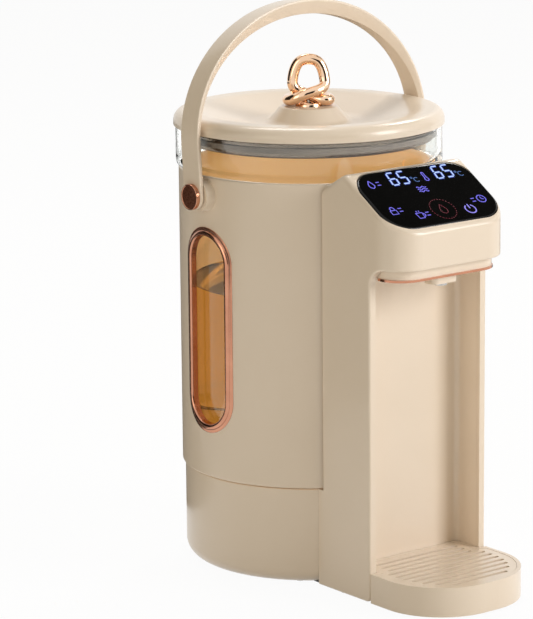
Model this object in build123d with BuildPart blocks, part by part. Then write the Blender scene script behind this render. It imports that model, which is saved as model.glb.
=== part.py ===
from build123d import *
from math import atan2, cos, pi, radians, sin, sqrt, tan
import os

os.makedirs("parts", exist_ok=True)

# Hot water dispenser: a pot that lifts off a round base, and a column that pours.
# Millimetres, +Z up, the front faces -Y. The origin is the middle of the footprint.

# Fits between pieces
FIT = 0.25
TOUCH = 0.1
OVERCUT = 1.0
PIN_RUN = 0.06
SEAT_GAP = 0.2
SLIDE_GAP = 0.5

# Base drum
FOOT_HEIGHT = 2.0
FOOT_R = 7.0
FOOT_CIRCLE = 66.0
FOOT_SPREAD = 30.0
FOOT_INSET = 3.0
BASE_HEIGHT = 75.0
BASE_INSET = 2.2
BASE_WALL = 2.6
BASE_ROUND = 12.0
SEAT_DEPTH = 7.0
DECK_THICK = 2.5
PLATE_THICK = 2.4
LIP_THICK = 2.5
LIP_WIDTH = 8.2
BASE_EDGE = 1.0

# Pot shell and glass vessel
SHELL_R = 100.0
SHELL_WALL = 2.6
SHELL_HEIGHT = 232.4
SHELL_EDGE = 1.5
SEAM_GAP = 0.6
VESSEL_GAP = 1.9
GLASS_WALL = 3.5
COLLAR_STANDOUT = 2.0
COLLAR_WALL = 4.0
COLLAR_HEIGHT = 29.4
COLLAR_ROUND = 3.5
NECK_LOW = 0.8
NECK_HIGH = 6.8
NECK_ROUND = 5.0
TOP_FLANGE = 4.0

# Level window on the left of the pot
WINDOW_LENGTH = 159.0
WINDOW_WIDTH = 54.2
WINDOW_LOW_SHARE = 0.7342
FRAME_WIDTH = 6.8
FRAME_NECK = 2.0
FRAME_PROUD = 2.0
FRAME_ROUND = 1.6

# Pot bottom: cover, heater and tank outlet
COVER_FLOOR = 2.8
COVER_WALL = 2.6
COVER_HEIGHT = 25.7
COVER_FLANGE = 2.5
COVER_CLEAR = 1.7
FLANGE_RISE = 1.5
LEDGE_CLEAR = 0.7
PLATE_STEEL = 1.5
SEAL_THICK = 2.4
HEATER_R = 60.0
HEATER_WIDTH = 12.0
HEATER_HEIGHT = 8.0
TERMINAL_R = 2.5
TERMINAL_LENGTH = 8.0
STUD_INSET = 10.9
STUD_R = 4.0
STUD_PAD_R = 6.0
STUD_DROP = 17.8
HEAD_RECESS = 2.2
TERMINAL_ANGLE = 10.0
POT_LEAD_Z = 83.0
PROBE_X = 34.0
PROBE_R = 3.0
PROBE_LENGTH = 15.0
THERMOSTAT_Y = -34.0
THERMOSTAT_R = 8.0
THERMOSTAT_HEIGHT = 5.0

# Tank outlet valve and its socket in the base
VALVE_X = -32.0
VALVE_Y = 14.0
VALVE_R = 9.0
VALVE_WALL = 2.0
VALVE_DIP = 8.7
VALVE_SEAT = 2.0
VALVE_HOLE_R = 4.2
VALVE_FLANGE_R = 13.0
VALVE_FLANGE = 2.0
VALVE_CAGE = 2.6
VALVE_PORT_R = 1.5
NUT_HEIGHT = 5.0
PLUNGER_LIFT = 4.0
PLUNGER_R = 6.0
PLUNGER_DISC = 2.0
PLUNGER_SEAL = 1.2
STEM_R = 2.0
STEM_ABOVE = 3.5
SPRING_R = 4.6
SPRING_WIRE_R = 0.5
SPRING_TURNS = 5
SPRING_SAMPLES = 8
SOCKET_R = 11.5
SOCKET_WALL = 2.0
SOCKET_FLOOR = 2.5
SOCKET_FLANGE_R = 16.0
SOCKET_FLANGE = 2.5
SOCKET_CLEAR = 1.5
SOCKET_SEAL = 4.0
SEAL_RISE = 2.0
STEM_BELOW = 2.3
POST_R = 1.8
WEB_THICK = 2.0
WEB_HEIGHT = 1.2

# Electrical coupler under the pot
PLUG_R = 15.5
PLUG_RISE = 4.5
PLUG_DROP = 10.0
NOSE_R = 9.0
NOSE_HEIGHT = 5.0
PLUG_FLANGE_R = 17.5
COUPLER_GAP = 0.6
COUPLER_CLEAR = 1.0
COUPLER_WALL = 3.4
COUPLER_HEIGHT = 12.9

# Lid and knob
LID_OVERHANG = 1.6
LID_WALL = 2.6
LID_RISE = 11.0
LID_GAP = 1.2
LID_ROUND = 8.0
LID_RIM = 18.6
DISH_DEPTH = 10.7
DISH_ROUND = 30.0
BOSS_ROUND = 8.0
BOSS_EDGE = 1.6
DISH_FLOOR_R = 44.0
BOSS_FOOT_R = 32.0
BOSS_TOP_R = 21.8
BOSS_HEIGHT = 12.2
LINER_SHEET = 0.8
LINER_DEPTH = 11.5
LINER_GAP = 2.5
LINER_FLANGE = 5.5
LINER_BEND = 3.0
SEAL_WIDTH = 2.1
SEAL_HEIGHT = 4.0
KNOB_TURN = -38.7
KNOB_WIRE_R = 3.75
KNOB_LOOP_R = 10.7
KNOB_HEIGHT = 39.8
STRAND_R = 3.5
STRAND_RING_R = 15.8
STRAND_TILT = 13.0
KNOB_FOOT_R = 13.0
KNOB_FOOT_HEIGHT = 6.0
KNOB_SCREW_R = 2.0
KNOB_SCREW_BITE = 8.0
SCREW_HEAD_R = 4.0
SCREW_HEAD = 2.4

# Carry handle
PIVOT_DROP = 14.0
LEG_GAP = 7.5
LEG_THICK = 4.5
CROWN_THICK = 9.6
LEG_STRAIGHT = 39.0
CROWN_RISE = 99.0
HANDLE_WIDTH = 20.0
HANDLE_EDGE = 1.6
HANDLE_LEAN = 4.3
ARM_RISE = 24.5
PIN_R = 4.0
PIN_HEAD_R = 9.8
PIN_HEAD = 3.1
PIN_BOSS_R = 12.0
PIN_BITE = 9.0

# Column and pouring head
HEAD_HALF = 57.0
COLUMN_DEPTH = 40.0
COLUMN_WALL = 2.6
COLUMN_GAP = 1.0
COLUMN_TOE = 5.0
EDGE_WIDTH = 6.1
EDGE_DEPTH = 3.0
HEAD_REACH = 30.8
HEAD_BOTTOM = 255.7
HEAD_FACE = 28.7
HEAD_CORNER = 25.0
HEAD_WEB = 14.0
PEAK_ROUND = 8.0
HEAD_EDGE = 1.8
PANEL_SIDE_EDGE = 5.0
BACK_SLOPE = 29.0
BACK_THICK = 2.0
RECESS_DEPTH = 25.3
LINER_WALL = 2.0
LINER_ROUND = 4.2
JOIN_GAP = 0.2
COLUMN_POST_INSET = 7.0
COLUMN_POST_R = 4.6
COLUMN_POST_BACK = 5.0

# Touch panel
PANEL_SLOPE = 31.74
PANEL_LENGTH = 64.3
PANEL_RIM = 2.0
PANEL_SETBACK = 3.7
PANEL_GLASS = 3.0
PANEL_CORNER_FRONT = 22.0
PANEL_CORNER_BACK = 20.0
PANEL_EDGE = 0.8
PANEL_LEDGE = 5.5
BOARD_INSET = 11.0
BOARD_LENGTH = 62.0
BOARD_THICK = 1.6
BOARD_POST_R = 2.6
BOARD_POST = 4.0
BOARD_POST_INSET = 3.4
DIGITS_WIDTH = 30.0
DIGITS_LENGTH = 18.0
DIGITS_BACK = 14.0

# Spout under the head
PLINTH_INSET = 6.2
PLINTH_DROP = 9.0
PLINTH_WALL = 2.0
PLINTH_FLANGE = 2.8
TRIM_HEIGHT = 1.8
TRIM_PROUD = 0.9
NOZZLE_SETBACK = 11.5
NOZZLE_R = 5.0
NOZZLE_SPIGOT = 6.5
NOZZLE_FLANGE_R = 9.0
NOZZLE_DROP = 8.0
SHROUD_WIDTH = 24.0
SHROUD_LENGTH = 14.0
SHROUD_DROP = 6.0
SHROUD_ROUND = 5.0

# Pump and hoses
PUMP_Z = 30.0
PUMP_R = 19.0
PUMP_LENGTH = 18.0
PUMP_WALL = 2.5
PUMP_BACKSET = 28.0
SPIGOT_R = 4.0
SPIGOT_BORE_R = 2.8
SPIGOT_LENGTH = 12.0
OUTLET_REACH = 30.0
OUTLET_DEPTH = 10.0
MOTOR_R = 14.0
MOTOR_LENGTH = 36.0
MOTOR_FLANGE = 2.0
SHAFT_R = 1.5
SHAFT_LENGTH = 24.0
IMPELLER_R = 15.0
IMPELLER_DISC = 2.0
VANE_HEIGHT = 5.0
VANE_THICK = 1.4
VANE_COUNT = 6
HUB_R = 4.0
IMPELLER_BACK = 2.5
SHAFT_END = 1.5
SADDLE_WIDTH = 22.0
SADDLE_LENGTH = 12.0
SADDLE_HEIGHT = 18.0
SADDLE_EAR = 7.0
SADDLE_EAR_HEIGHT = 3.0
HOSE_WALL = 1.5
HOSE_X = 36.0
HOSE_BEND = 35.0
HOSE_TOP_BEND = 25.0
HOSE_END_BEND = 14.0
HOSE_HEAD_Z = 272.0

# Control board, cables and mains inlet
PCB_X = 18.0
PCB_FRONT = -2.0
PCB_REAR_GAP = 27.6
PCB_WIDTH = 70.0
PCB_STANDOFF = 9.6
PCB_STANDOFF_R = 3.0
PCB_HOLE_INSET = 4.0
CABLE_R = 2.0
CABLE_X = 24.0
CABLE_START_Y = 20.0
CABLE_RUN_Z = 50.0
CABLE_BACK = 6.1
CABLE_LEAN = 30.0
CABLE_BEND = 8.0
LEAD_R = 1.6
COUPLER_LEADS_Y = 4.0
COUPLER_LEADS = 3
COUPLER_LEAD_PITCH = 6.0
MOTOR_LEAD_R = 1.2
MOTOR_LEAD_X = -11.0
MOTOR_LEAD_Y = 12.0
MOTOR_LEAD_STEP = 5.0
MOTOR_LEAD_OUT = 8.0
TRANSFORMER = (22.0, 20.0, 18.0)
TRANSFORMER_X = 16.0
TRANSFORMER_Y = 15.0
RELAY = (12.0, 14.0, 14.0)
RELAY_X = 12.0
CAPACITOR_X = 16.0
TERMINALS = (18.0, 10.0, 9.0)
LEAD_BLOCK = (17.6, 8.0, 7.0)
CONNECTOR = (10.0, 6.0, 10.0)
CAPACITOR_R = 6.0
CAPACITOR_HEIGHT = 18.0
LEAD_X = 7.0
LEAD_BEND = 5.0
INLET_Z = 32.0
INLET_WIDTH = 28.0
INLET_HEIGHT = 20.5
INLET_DEPTH = 20.0
INLET_WALL = 1.8
INLET_FLANGE_WIDTH = 32.4
INLET_FLANGE_HEIGHT = 25.0
INLET_FLANGE = 2.6
INLET_SETBACK = 2.2
BLADE_WIDTH = 2.0
BLADE_HEIGHT = 4.0
BLADE_LENGTH = 13.0
PASS_LOW = 8.0
PASS_HIGH = 62.0
PASS_LEFT = 19.0
PASS_RIGHT = 52.0

# Cooling vents in the bottom plate
VENT_Y = -75.0
VENT_PITCH = 7.0
VENT_COUNT = 4
VENT_LENGTH = 34.0
VENT_WIDTH = 3.0

# Drip tray and grate
TRAY_REACH = 71.5
TRAY_FLAT = 7.0
TRAY_HEIGHT = 22.4
TRAY_LIFT = 0.2
TRAY_WALL = 3.0
TRAY_LEDGE = 2.2
TRAY_FLOOR = 2.0
TRAY_OVERLAP = 12.0
GRATE_THICK = 3.0
GRATE_DROP = 0.2
SLOT_WIDTH = 3.6
SLOT_PITCH = 8.0
SLOT_INSET = 6.0
TONGUE_INSET = 16.0
TONGUE_SHORT = 15.0
BRIDGE_SIDE = 0.6

# Fasteners
SCREW_R = 1.5
SCREW_HOLE_R = 1.8
SMALL_HEAD_R = 3.0
SMALL_HEAD = 1.6
PLATE_SCREW_INSET = 4.6
PLATE_SCREWS = 4
BOSS_R = 4.0
BOSS_LENGTH = 15.0
SCREW_LENGTH = 12.0

# Levels, from the counter up
floor_z = FOOT_HEIGHT
plate_top = floor_z + PLATE_THICK
lip_z = plate_top + SEAT_GAP
lip_top = lip_z + LIP_THICK
base_top = floor_z + BASE_HEIGHT
deck_top = base_top - SEAT_DEPTH
deck_under = deck_top - DECK_THICK
shell_bottom = base_top + SEAM_GAP
shell_top = shell_bottom + SHELL_HEIGHT
cover_z = deck_top + SEAT_GAP
cover_top = cover_z + COVER_FLOOR
steel_z = cover_z + COVER_HEIGHT + TOUCH
steel_top = steel_z + PLATE_STEEL
vessel_z = steel_top + SEAL_THICK + 2 * TOUCH
collar_z = shell_top + SEAT_GAP
rim_z = collar_z + COLLAR_HEIGHT
lid_z = rim_z + LID_GAP
pivot_z = shell_top - PIVOT_DROP

# Radii about the pot's axis
base_r = SHELL_R - BASE_INSET
base_in = base_r - BASE_WALL
plate_r = base_r - BASE_ROUND - SEAT_GAP
plate_screw_circle = plate_r - PLATE_SCREW_INSET
shell_in = SHELL_R - SHELL_WALL
vessel_r = shell_in - VESSEL_GAP
vessel_in = vessel_r - GLASS_WALL
collar_r = SHELL_R + COLLAR_STANDOUT
collar_in = collar_r - COLLAR_WALL
lid_r = collar_r + LID_OVERHANG
dish_r = lid_r - LID_RIM
cover_r = base_in - COVER_CLEAR
cover_in = cover_r - COVER_WALL
stud_circle = cover_in - STUD_INSET
column_r = collar_r + COLUMN_GAP

# Sides of the column, its board, the tray and the tray's tongue
column_post_x = HEAD_HALF - COLUMN_POST_INSET
board_width = 2 * (HEAD_HALF - BOARD_INSET)
digits_apart = board_width / 2
tray_corner = HEAD_HALF - TRAY_FLAT
tongue_half = HEAD_HALF - TONGUE_INSET

# Depths from the pot's axis, towards the front
column_y = -(SHELL_R + COLUMN_DEPTH)
recess_y = column_y + RECESS_DEPTH
liner_back = recess_y + LINER_WALL
head_y = column_y - HEAD_REACH
tray_y = column_y - TRAY_REACH
pcb_length = plate_r - PCB_REAR_GAP - PCB_FRONT
pcb_y = PCB_FRONT + pcb_length / 2
POT_Y = (-tray_y - lid_r) / 2
POT_AXIS = Axis((0, POT_Y, 0), (0, 0, 1))

# Working planes. Depths and sides are counted from the pot's axis.
LATHE = Plane(origin=(0, POT_Y, 0), x_dir=(1, 0, 0), z_dir=(0, -1, 0))
SIDE = Plane(origin=(0, POT_Y, 0), x_dir=(0, 1, 0), z_dir=(1, 0, 0))


def level(height):
    """A level plane through the pot's axis."""
    return Plane(origin=(0, POT_Y, height), x_dir=(1, 0, 0), z_dir=(0, 0, 1))


def outline(plane, corners, radii):
    """A closed flat face with straight sides and rounded corners."""
    with BuildSketch(plane) as face:
        with BuildLine():
            FilletPolyline(*corners, radius=radii, close=True)
        make_face()
    return face.sketch


def plan(height, half_width, front, back, front_round, back_round):
    """A level four-sided outline, the same on both sides of the middle."""
    corners = [(-half_width, front), (half_width, front), (half_width, back), (-half_width, back)]
    return outline(level(height), corners, [front_round, front_round, back_round, back_round])


def pot_side(points):
    """Points given from the pot's axis, moved to the model's frame."""
    return [(x, y + POT_Y, z) for x, y, z in points]


def hose(points, bends, outer, inner):
    """A tube along straight runs joined by round bends."""
    with BuildPart() as tube:
        with BuildLine() as route:
            FilletPolyline(*pot_side(points), radius=bends)
        with BuildSketch(Plane(origin=route.line @ 0, z_dir=route.line % 0)):
            Circle(outer)
            if inner > 0:
                Circle(inner, mode=Mode.SUBTRACT)
        sweep(path=route.line)
    return tube


def screws(height, places, way, head_r, head, shank_r, length):
    """Upright screws whose heads bear at one level. The way is 1 for upward shanks, -1 for downward."""
    with BuildPart() as group:
        with BuildSketch(level(height)):
            with Locations(*places):
                Circle(head_r)
        extrude(amount=-way * head)
        with BuildSketch(level(height)):
            with Locations(*places):
                Circle(shank_r)
        extrude(amount=way * length)
    return group


# Places of the fasteners
plate_screw_places = [
    (plate_screw_circle * cos(radians(45 + 90 * i)), plate_screw_circle * sin(radians(45 + 90 * i)))
    for i in range(PLATE_SCREWS)
]
column_post_y = liner_back + COLUMN_POST_R + COLUMN_POST_BACK
column_post_places = [(-column_post_x, column_post_y), (column_post_x, column_post_y)]
stud_places = [
    (stud_circle * cos(radians(90 + 120 * i)), stud_circle * sin(radians(90 + 120 * i)))
    for i in range(3)
]
pump_face = VALVE_Y - PUMP_BACKSET
saddle_y = pump_face - PUMP_LENGTH - MOTOR_FLANGE - MOTOR_LENGTH / 2
saddle_dx = (SADDLE_WIDTH + SADDLE_EAR) / 2
saddle_places = [(VALVE_X - saddle_dx, saddle_y), (VALVE_X + saddle_dx, saddle_y)]
pcb_dx = PCB_WIDTH / 2 - PCB_HOLE_INSET
pcb_dy = pcb_length / 2 - PCB_HOLE_INSET
pcb_places = [(PCB_X + sx * pcb_dx, pcb_y + sy * pcb_dy) for sx in (-1, 1) for sy in (-1, 1)]

# Base drum: wall, deck under the pot and the rim that the bottom plate closes
base_corners = [
    (0, deck_top),
    (base_in, deck_top),
    (base_in, base_top),
    (base_r, base_top),
    (base_r, floor_z),
    (plate_r + SEAT_GAP, floor_z),
    (plate_r + SEAT_GAP, lip_z),
    (plate_r - LIP_WIDTH, lip_z),
    (plate_r - LIP_WIDTH, lip_top),
    (base_in, lip_top),
    (base_in, deck_under),
    (0, deck_under),
]
base_radii = [0, 0, 0, BASE_EDGE, BASE_ROUND, 0, 0, 0, 0, BASE_ROUND - BASE_WALL, 0, 0]
inlet_y = base_r - INLET_SETBACK
bridge_half = HEAD_HALF - COLUMN_WALL - BRIDGE_SIDE

with BuildPart() as base_housing:
    revolve(outline(LATHE, base_corners, base_radii), axis=POT_AXIS)
    # Bosses for the bottom plate's screws
    with BuildSketch(level(lip_top)):
        with Locations(*plate_screw_places):
            Circle(BOSS_R)
    extrude(amount=BOSS_LENGTH)
    with BuildSketch(level(lip_z)):
        with Locations(*plate_screw_places):
            Circle(SCREW_R + TOUCH)
    extrude(amount=LIP_THICK + SCREW_LENGTH, mode=Mode.SUBTRACT)
    # Openings in the deck for the valve socket and the coupler
    with BuildSketch(level(deck_under)):
        Circle(PLUG_R + FIT)
        with Locations((VALVE_X, VALVE_Y)):
            Circle(SOCKET_R + SOCKET_WALL + FIT)
    extrude(amount=DECK_THICK, mode=Mode.SUBTRACT)
    # Opening towards the column for the hose and the cable
    with BuildSketch(LATHE.offset(base_r / 2)):
        with Locations(((PASS_LEFT + PASS_RIGHT) / 2, (PASS_LOW + PASS_HIGH) / 2)):
            Rectangle(PASS_RIGHT - PASS_LEFT, PASS_HIGH - PASS_LOW)
    extrude(amount=base_r, mode=Mode.SUBTRACT)
    # Slot for the bottom plate's bridge into the column
    with BuildSketch(level(0)):
        with Locations((0, -base_r)):
            Rectangle(2 * (bridge_half + SEAT_GAP), base_r)
    extrude(amount=lip_z, mode=Mode.SUBTRACT)
    # Cut-out for the mains inlet
    with BuildSketch(LATHE.offset(-base_r / 2)):
        with Locations((0, INLET_Z)):
            Rectangle(INLET_FLANGE_WIDTH + 2 * FIT, INLET_FLANGE_HEIGHT + 2 * FIT)
    extrude(amount=-base_r, mode=Mode.SUBTRACT)

base_housing.part.label = "base_housing"
export_step(base_housing.part, "parts/base_housing.step")

# Bottom plate: round under the drum, with a bridge under the column and a tray tongue
bridge_front = liner_back + FIT
tongue_y = tray_y + TONGUE_SHORT
pcb_z = plate_top + PCB_STANDOFF

with BuildPart() as base_plate:
    with BuildSketch(level(floor_z)):
        Circle(plate_r)
        with Locations((0, bridge_front / 2)):
            Rectangle(2 * bridge_half, -bridge_front)
        with Locations((0, tongue_y / 2)):
            Rectangle(2 * tongue_half, -tongue_y)
        with Locations(*plate_screw_places, *column_post_places):
            Circle(SCREW_HOLE_R, mode=Mode.SUBTRACT)
        with Locations(*saddle_places):
            Circle(SCREW_R + TOUCH, mode=Mode.SUBTRACT)
        with Locations((0, VENT_Y)):
            with GridLocations(0, VENT_PITCH, 1, VENT_COUNT):
                SlotOverall(VENT_LENGTH, VENT_WIDTH, mode=Mode.SUBTRACT)
    extrude(amount=PLATE_THICK)
    # Posts that carry the control board
    with BuildSketch(level(plate_top)):
        with Locations(*pcb_places):
            Circle(PCB_STANDOFF_R)
    extrude(amount=PCB_STANDOFF)
    with BuildSketch(level(pcb_z)):
        with Locations(*pcb_places):
            Circle(SCREW_R + TOUCH)
    extrude(amount=-PCB_STANDOFF, mode=Mode.SUBTRACT)

base_plate.part.label = "base_plate"
export_step(base_plate.part, "parts/base_plate.step")

# Rubber feet under the drum and under the tray tongue
tongue_foot_y = tongue_y + FOOT_R + FOOT_INSET
foot_places = [
    (FOOT_CIRCLE, 0),
    (0, FOOT_CIRCLE),
    (-FOOT_CIRCLE, 0),
    (FOOT_SPREAD, tongue_foot_y),
    (-FOOT_SPREAD, tongue_foot_y),
]

with BuildPart() as feet:
    with BuildSketch(level(0)):
        with Locations(*foot_places):
            Circle(FOOT_R)
    extrude(amount=FOOT_HEIGHT)

feet.part.label = "feet"
export_step(feet.part, "parts/feet.step")

# Screws that hold the bottom plate to the drum and to the column
plate_screws = screws(
    floor_z, plate_screw_places + column_post_places, 1, SMALL_HEAD_R, SMALL_HEAD, SCREW_R, SCREW_LENGTH
)
plate_screws.part.label = "plate_screws"
export_step(plate_screws.part, "parts/plate_screws.step")

# Column and head: side outline, with the sloped panel on top
slope_rise = tan(radians(PANEL_SLOPE))
back_rise = tan(radians(BACK_SLOPE))
face_top = HEAD_BOTTOM + HEAD_FACE
peak_y = head_y + PANEL_SETBACK + PANEL_LENGTH * cos(radians(PANEL_SLOPE)) + PANEL_RIM
peak_z = face_top + (peak_y - head_y) * slope_rise
rear_y = -SHELL_R / 2
rear_z = peak_z - (rear_y - peak_y) * back_rise
recess_half = HEAD_HALF - EDGE_WIDTH
plinth_half = recess_half - JOIN_GAP * 2
plinth_y = head_y + PLINTH_INSET
plinth_round = HEAD_CORNER - PLINTH_INSET
plinth_z = HEAD_BOTTOM - PLINTH_DROP
head_floor = HEAD_BOTTOM + COLUMN_WALL

# The panel's own plane: middle of the glass, facing up and forward
panel_mid_y = head_y + PANEL_SETBACK + PANEL_LENGTH / 2 * cos(radians(PANEL_SLOPE))
panel_mid_z = face_top + (panel_mid_y - head_y) * slope_rise
PANEL = Plane(
    origin=(0, POT_Y + panel_mid_y, panel_mid_z),
    x_dir=(1, 0, 0),
    z_dir=(0, -sin(radians(PANEL_SLOPE)), cos(radians(PANEL_SLOPE))),
)
panel_half = HEAD_HALF - PANEL_RIM


def panel_face(depth, inset):
    """The touch panel's outline, drawn in by an inset, at a depth under its face."""
    half = panel_half - inset
    reach = PANEL_LENGTH / 2 - inset
    front = PANEL_CORNER_FRONT - inset
    back = PANEL_CORNER_BACK - inset
    corners = [(-half, -reach), (half, -reach), (half, reach), (-half, reach)]
    return outline(PANEL.offset(-depth), corners, [front, front, back, back])


def column_inside(wall):
    """The hollow of the column and head, for a wall of the given thickness."""
    panel_drop = (PANEL_GLASS + wall) / cos(radians(PANEL_SLOPE))
    back_drop = wall / cos(radians(BACK_SLOPE))
    inner_peak = peak_y + (panel_drop - back_drop) / (slope_rise + back_rise)
    inner_face = head_y + wall
    corners = [
        (rear_y, 0),
        (column_y + EDGE_DEPTH, 0),
        (column_y + EDGE_DEPTH, HEAD_BOTTOM + wall),
        (inner_face, HEAD_BOTTOM + wall),
        (inner_face, face_top + wall * slope_rise - panel_drop),
        (inner_peak, peak_z - back_drop - (inner_peak - peak_y) * back_rise),
        (rear_y, rear_z - back_drop),
    ]
    with BuildPart() as hollow:
        extrude(outline(SIDE, corners, [0] * len(corners)), amount=HEAD_HALF - wall, both=True)
        limit = plan(-OVERCUT, HEAD_HALF - wall, inner_face, rear_y, HEAD_CORNER - wall, 0)
        extrude(limit, amount=peak_z + 2 * OVERCUT, mode=Mode.INTERSECT)
    return hollow.part


column_corners = [
    (rear_y, floor_z),
    (column_y, floor_z),
    (column_y, HEAD_BOTTOM),
    (head_y, HEAD_BOTTOM),
    (head_y, face_top),
    (peak_y, peak_z),
    (rear_y, rear_z),
]
column_radii = [0, COLUMN_TOE, HEAD_WEB, 0, 0, PEAK_ROUND, 0]
column_hollow = column_inside(COLUMN_WALL)
board_dx = board_width / 2 - BOARD_POST_INSET
board_dy = BOARD_LENGTH / 2 - BOARD_POST_INSET
board_depth = PANEL_GLASS + COLUMN_WALL + BOARD_POST

with BuildPart() as column_housing:
    extrude(outline(SIDE, column_corners, column_radii), amount=HEAD_HALF, both=True)
    head_plan = plan(0, HEAD_HALF, head_y, rear_y, HEAD_CORNER, 0)
    extrude(head_plan, amount=peak_z + OVERCUT, mode=Mode.INTERSECT)
    # Soft outer edges along both sides and round the head
    side_edges = column_housing.faces().filter_by(Axis.X).edges()
    upright = side_edges.filter_by(Axis.Z)
    smooth = upright.filter_by_position(Axis.Y, POT_Y + head_y, POT_Y + column_y - OVERCUT)
    behind = side_edges.filter_by_position(Axis.Y, POT_Y + rear_y - OVERCUT, POT_Y + rear_y + OVERCUT)
    under = side_edges.filter_by_position(Axis.Z, floor_z - OVERCUT, floor_z + OVERCUT)
    soft = side_edges - smooth - behind - under
    above = soft.filter_by_position(Axis.Z, face_top, peak_z)
    fillet(soft - above, HEAD_EDGE)
    side_edges = column_housing.faces().filter_by(Axis.X).edges()
    above = side_edges.filter_by_position(Axis.Z, face_top, peak_z)
    fillet(above - behind, PANEL_SIDE_EDGE)
    add(column_hollow, mode=Mode.SUBTRACT)
    # Opening for the cup recess and the spout plinth
    recess_plan = plan(-OVERCUT, recess_half, plinth_y - JOIN_GAP, recess_y, plinth_round, 0)
    extrude(recess_plan, amount=head_floor + 2 * OVERCUT, mode=Mode.SUBTRACT)
    # Room for the pot above and for the drum below
    with BuildSketch(level(base_top)):
        Circle(column_r)
    extrude(amount=peak_z, mode=Mode.SUBTRACT)
    with BuildSketch(level(0)):
        Circle(base_r + JOIN_GAP)
    extrude(amount=base_top, mode=Mode.SUBTRACT)
    # Pocket for the panel glass, and the window behind it
    extrude(panel_face(PANEL_GLASS, -FIT), amount=PANEL_GLASS * 2, mode=Mode.SUBTRACT)
    extrude(panel_face(PANEL_GLASS, PANEL_LEDGE), amount=-COLUMN_WALL * 2, mode=Mode.SUBTRACT)
    # Posts for the display board and for the bottom plate's screws
    with BuildSketch(PANEL.offset(-board_depth)):
        with GridLocations(2 * board_dx, 2 * board_dy, 2, 2):
            Circle(BOARD_POST_R)
    extrude(amount=BOARD_POST + COLUMN_WALL)
    with BuildSketch(level(lip_z)):
        with Locations(*column_post_places):
            Circle(COLUMN_POST_R)
    extrude(amount=BOSS_LENGTH * 2)
    with BuildSketch(level(lip_z)):
        with Locations(*column_post_places):
            Circle(SCREW_R + TOUCH)
    extrude(amount=BOSS_LENGTH, mode=Mode.SUBTRACT)

column_housing.part.label = "column_housing"
export_step(column_housing.part, "parts/column_housing.step")

# Curved cover that closes the column towards the pot
back_limit = column_inside(COLUMN_WALL + FIT)

with BuildPart() as column_back:
    with BuildSketch(level(base_top + JOIN_GAP)):
        Circle(column_r + BACK_THICK)
        Circle(column_r, mode=Mode.SUBTRACT)
    extrude(amount=peak_z)
    add(back_limit, mode=Mode.INTERSECT)

column_back.part.label = "column_back"
export_step(column_back.part, "parts/column_back.step")

# Lining of the cup recess
liner_round = LINER_ROUND + LINER_WALL
liner_front = column_y + EDGE_DEPTH + JOIN_GAP

with BuildPart() as recess_panel:
    liner_outer = plan(lip_z, recess_half + LINER_WALL, liner_front, liner_back, 0, liner_round)
    extrude(liner_outer, amount=HEAD_BOTTOM - lip_z - JOIN_GAP)
    liner_inner = plan(lip_z, recess_half, head_y, recess_y, 0, LINER_ROUND)
    extrude(liner_inner, amount=HEAD_BOTTOM, mode=Mode.SUBTRACT)

recess_panel.part.label = "recess_panel"
export_step(recess_panel.part, "parts/recess_panel.step")

# Spout plinth under the head, with a flange on the head's floor
nozzle_y = plinth_y + NOZZLE_SETBACK
flange_half = plinth_half + PLINTH_FLANGE
plinth_back = recess_y - JOIN_GAP * 2
plinth_in = plinth_half - PLINTH_WALL
flange_z = head_floor + TOUCH

with BuildPart() as spout_plate:
    plinth_plan = plan(plinth_z, plinth_half, plinth_y, plinth_back, plinth_round, liner_round)
    extrude(plinth_plan, amount=flange_z - plinth_z)
    flange_plan = plan(
        flange_z, flange_half, plinth_y - PLINTH_FLANGE, liner_front - JOIN_GAP * 2,
        plinth_round + PLINTH_FLANGE, 0,
    )
    extrude(flange_plan, amount=PLINTH_WALL)
    plinth_hollow = plan(
        plinth_z + PLINTH_WALL, plinth_in, plinth_y + PLINTH_WALL, plinth_back - PLINTH_WALL,
        plinth_round - PLINTH_WALL, LINER_ROUND,
    )
    extrude(plinth_hollow, amount=PLINTH_DROP * 2, mode=Mode.SUBTRACT)
    with BuildSketch(level(plinth_z)):
        with Locations((0, nozzle_y)):
            RectangleRounded(SHROUD_WIDTH, SHROUD_LENGTH, SHROUD_ROUND)
    extrude(amount=-SHROUD_DROP)
    with BuildSketch(level(plinth_z - SHROUD_DROP)):
        with Locations((0, nozzle_y)):
            Circle(NOZZLE_R + TOUCH)
    extrude(amount=SHROUD_DROP + PLINTH_WALL, mode=Mode.SUBTRACT)

spout_plate.part.label = "spout_plate"
export_step(spout_plate.part, "parts/spout_plate.step")

# Metal trim round the plinth's lower edge
trim_half = plinth_half + TRIM_PROUD

with BuildPart() as trim_ring:
    trim_outer = plan(
        plinth_z, trim_half, plinth_y - TRIM_PROUD, column_y - EDGE_DEPTH, plinth_round + TRIM_PROUD, 0
    )
    extrude(trim_outer, amount=TRIM_HEIGHT)
    trim_inner = plan(
        plinth_z, plinth_half + TOUCH / 2, plinth_y - TOUCH / 2, plinth_back, plinth_round + TOUCH / 2, 0
    )
    extrude(trim_inner, amount=TRIM_HEIGHT, mode=Mode.SUBTRACT)

trim_ring.part.label = "trim_ring"
export_step(trim_ring.part, "parts/trim_ring.step")

# Nozzle through the plinth, with a spigot for the hose
nozzle_low = plinth_z - NOZZLE_DROP
nozzle_seat = plinth_z + PLINTH_WALL + TOUCH

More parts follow.
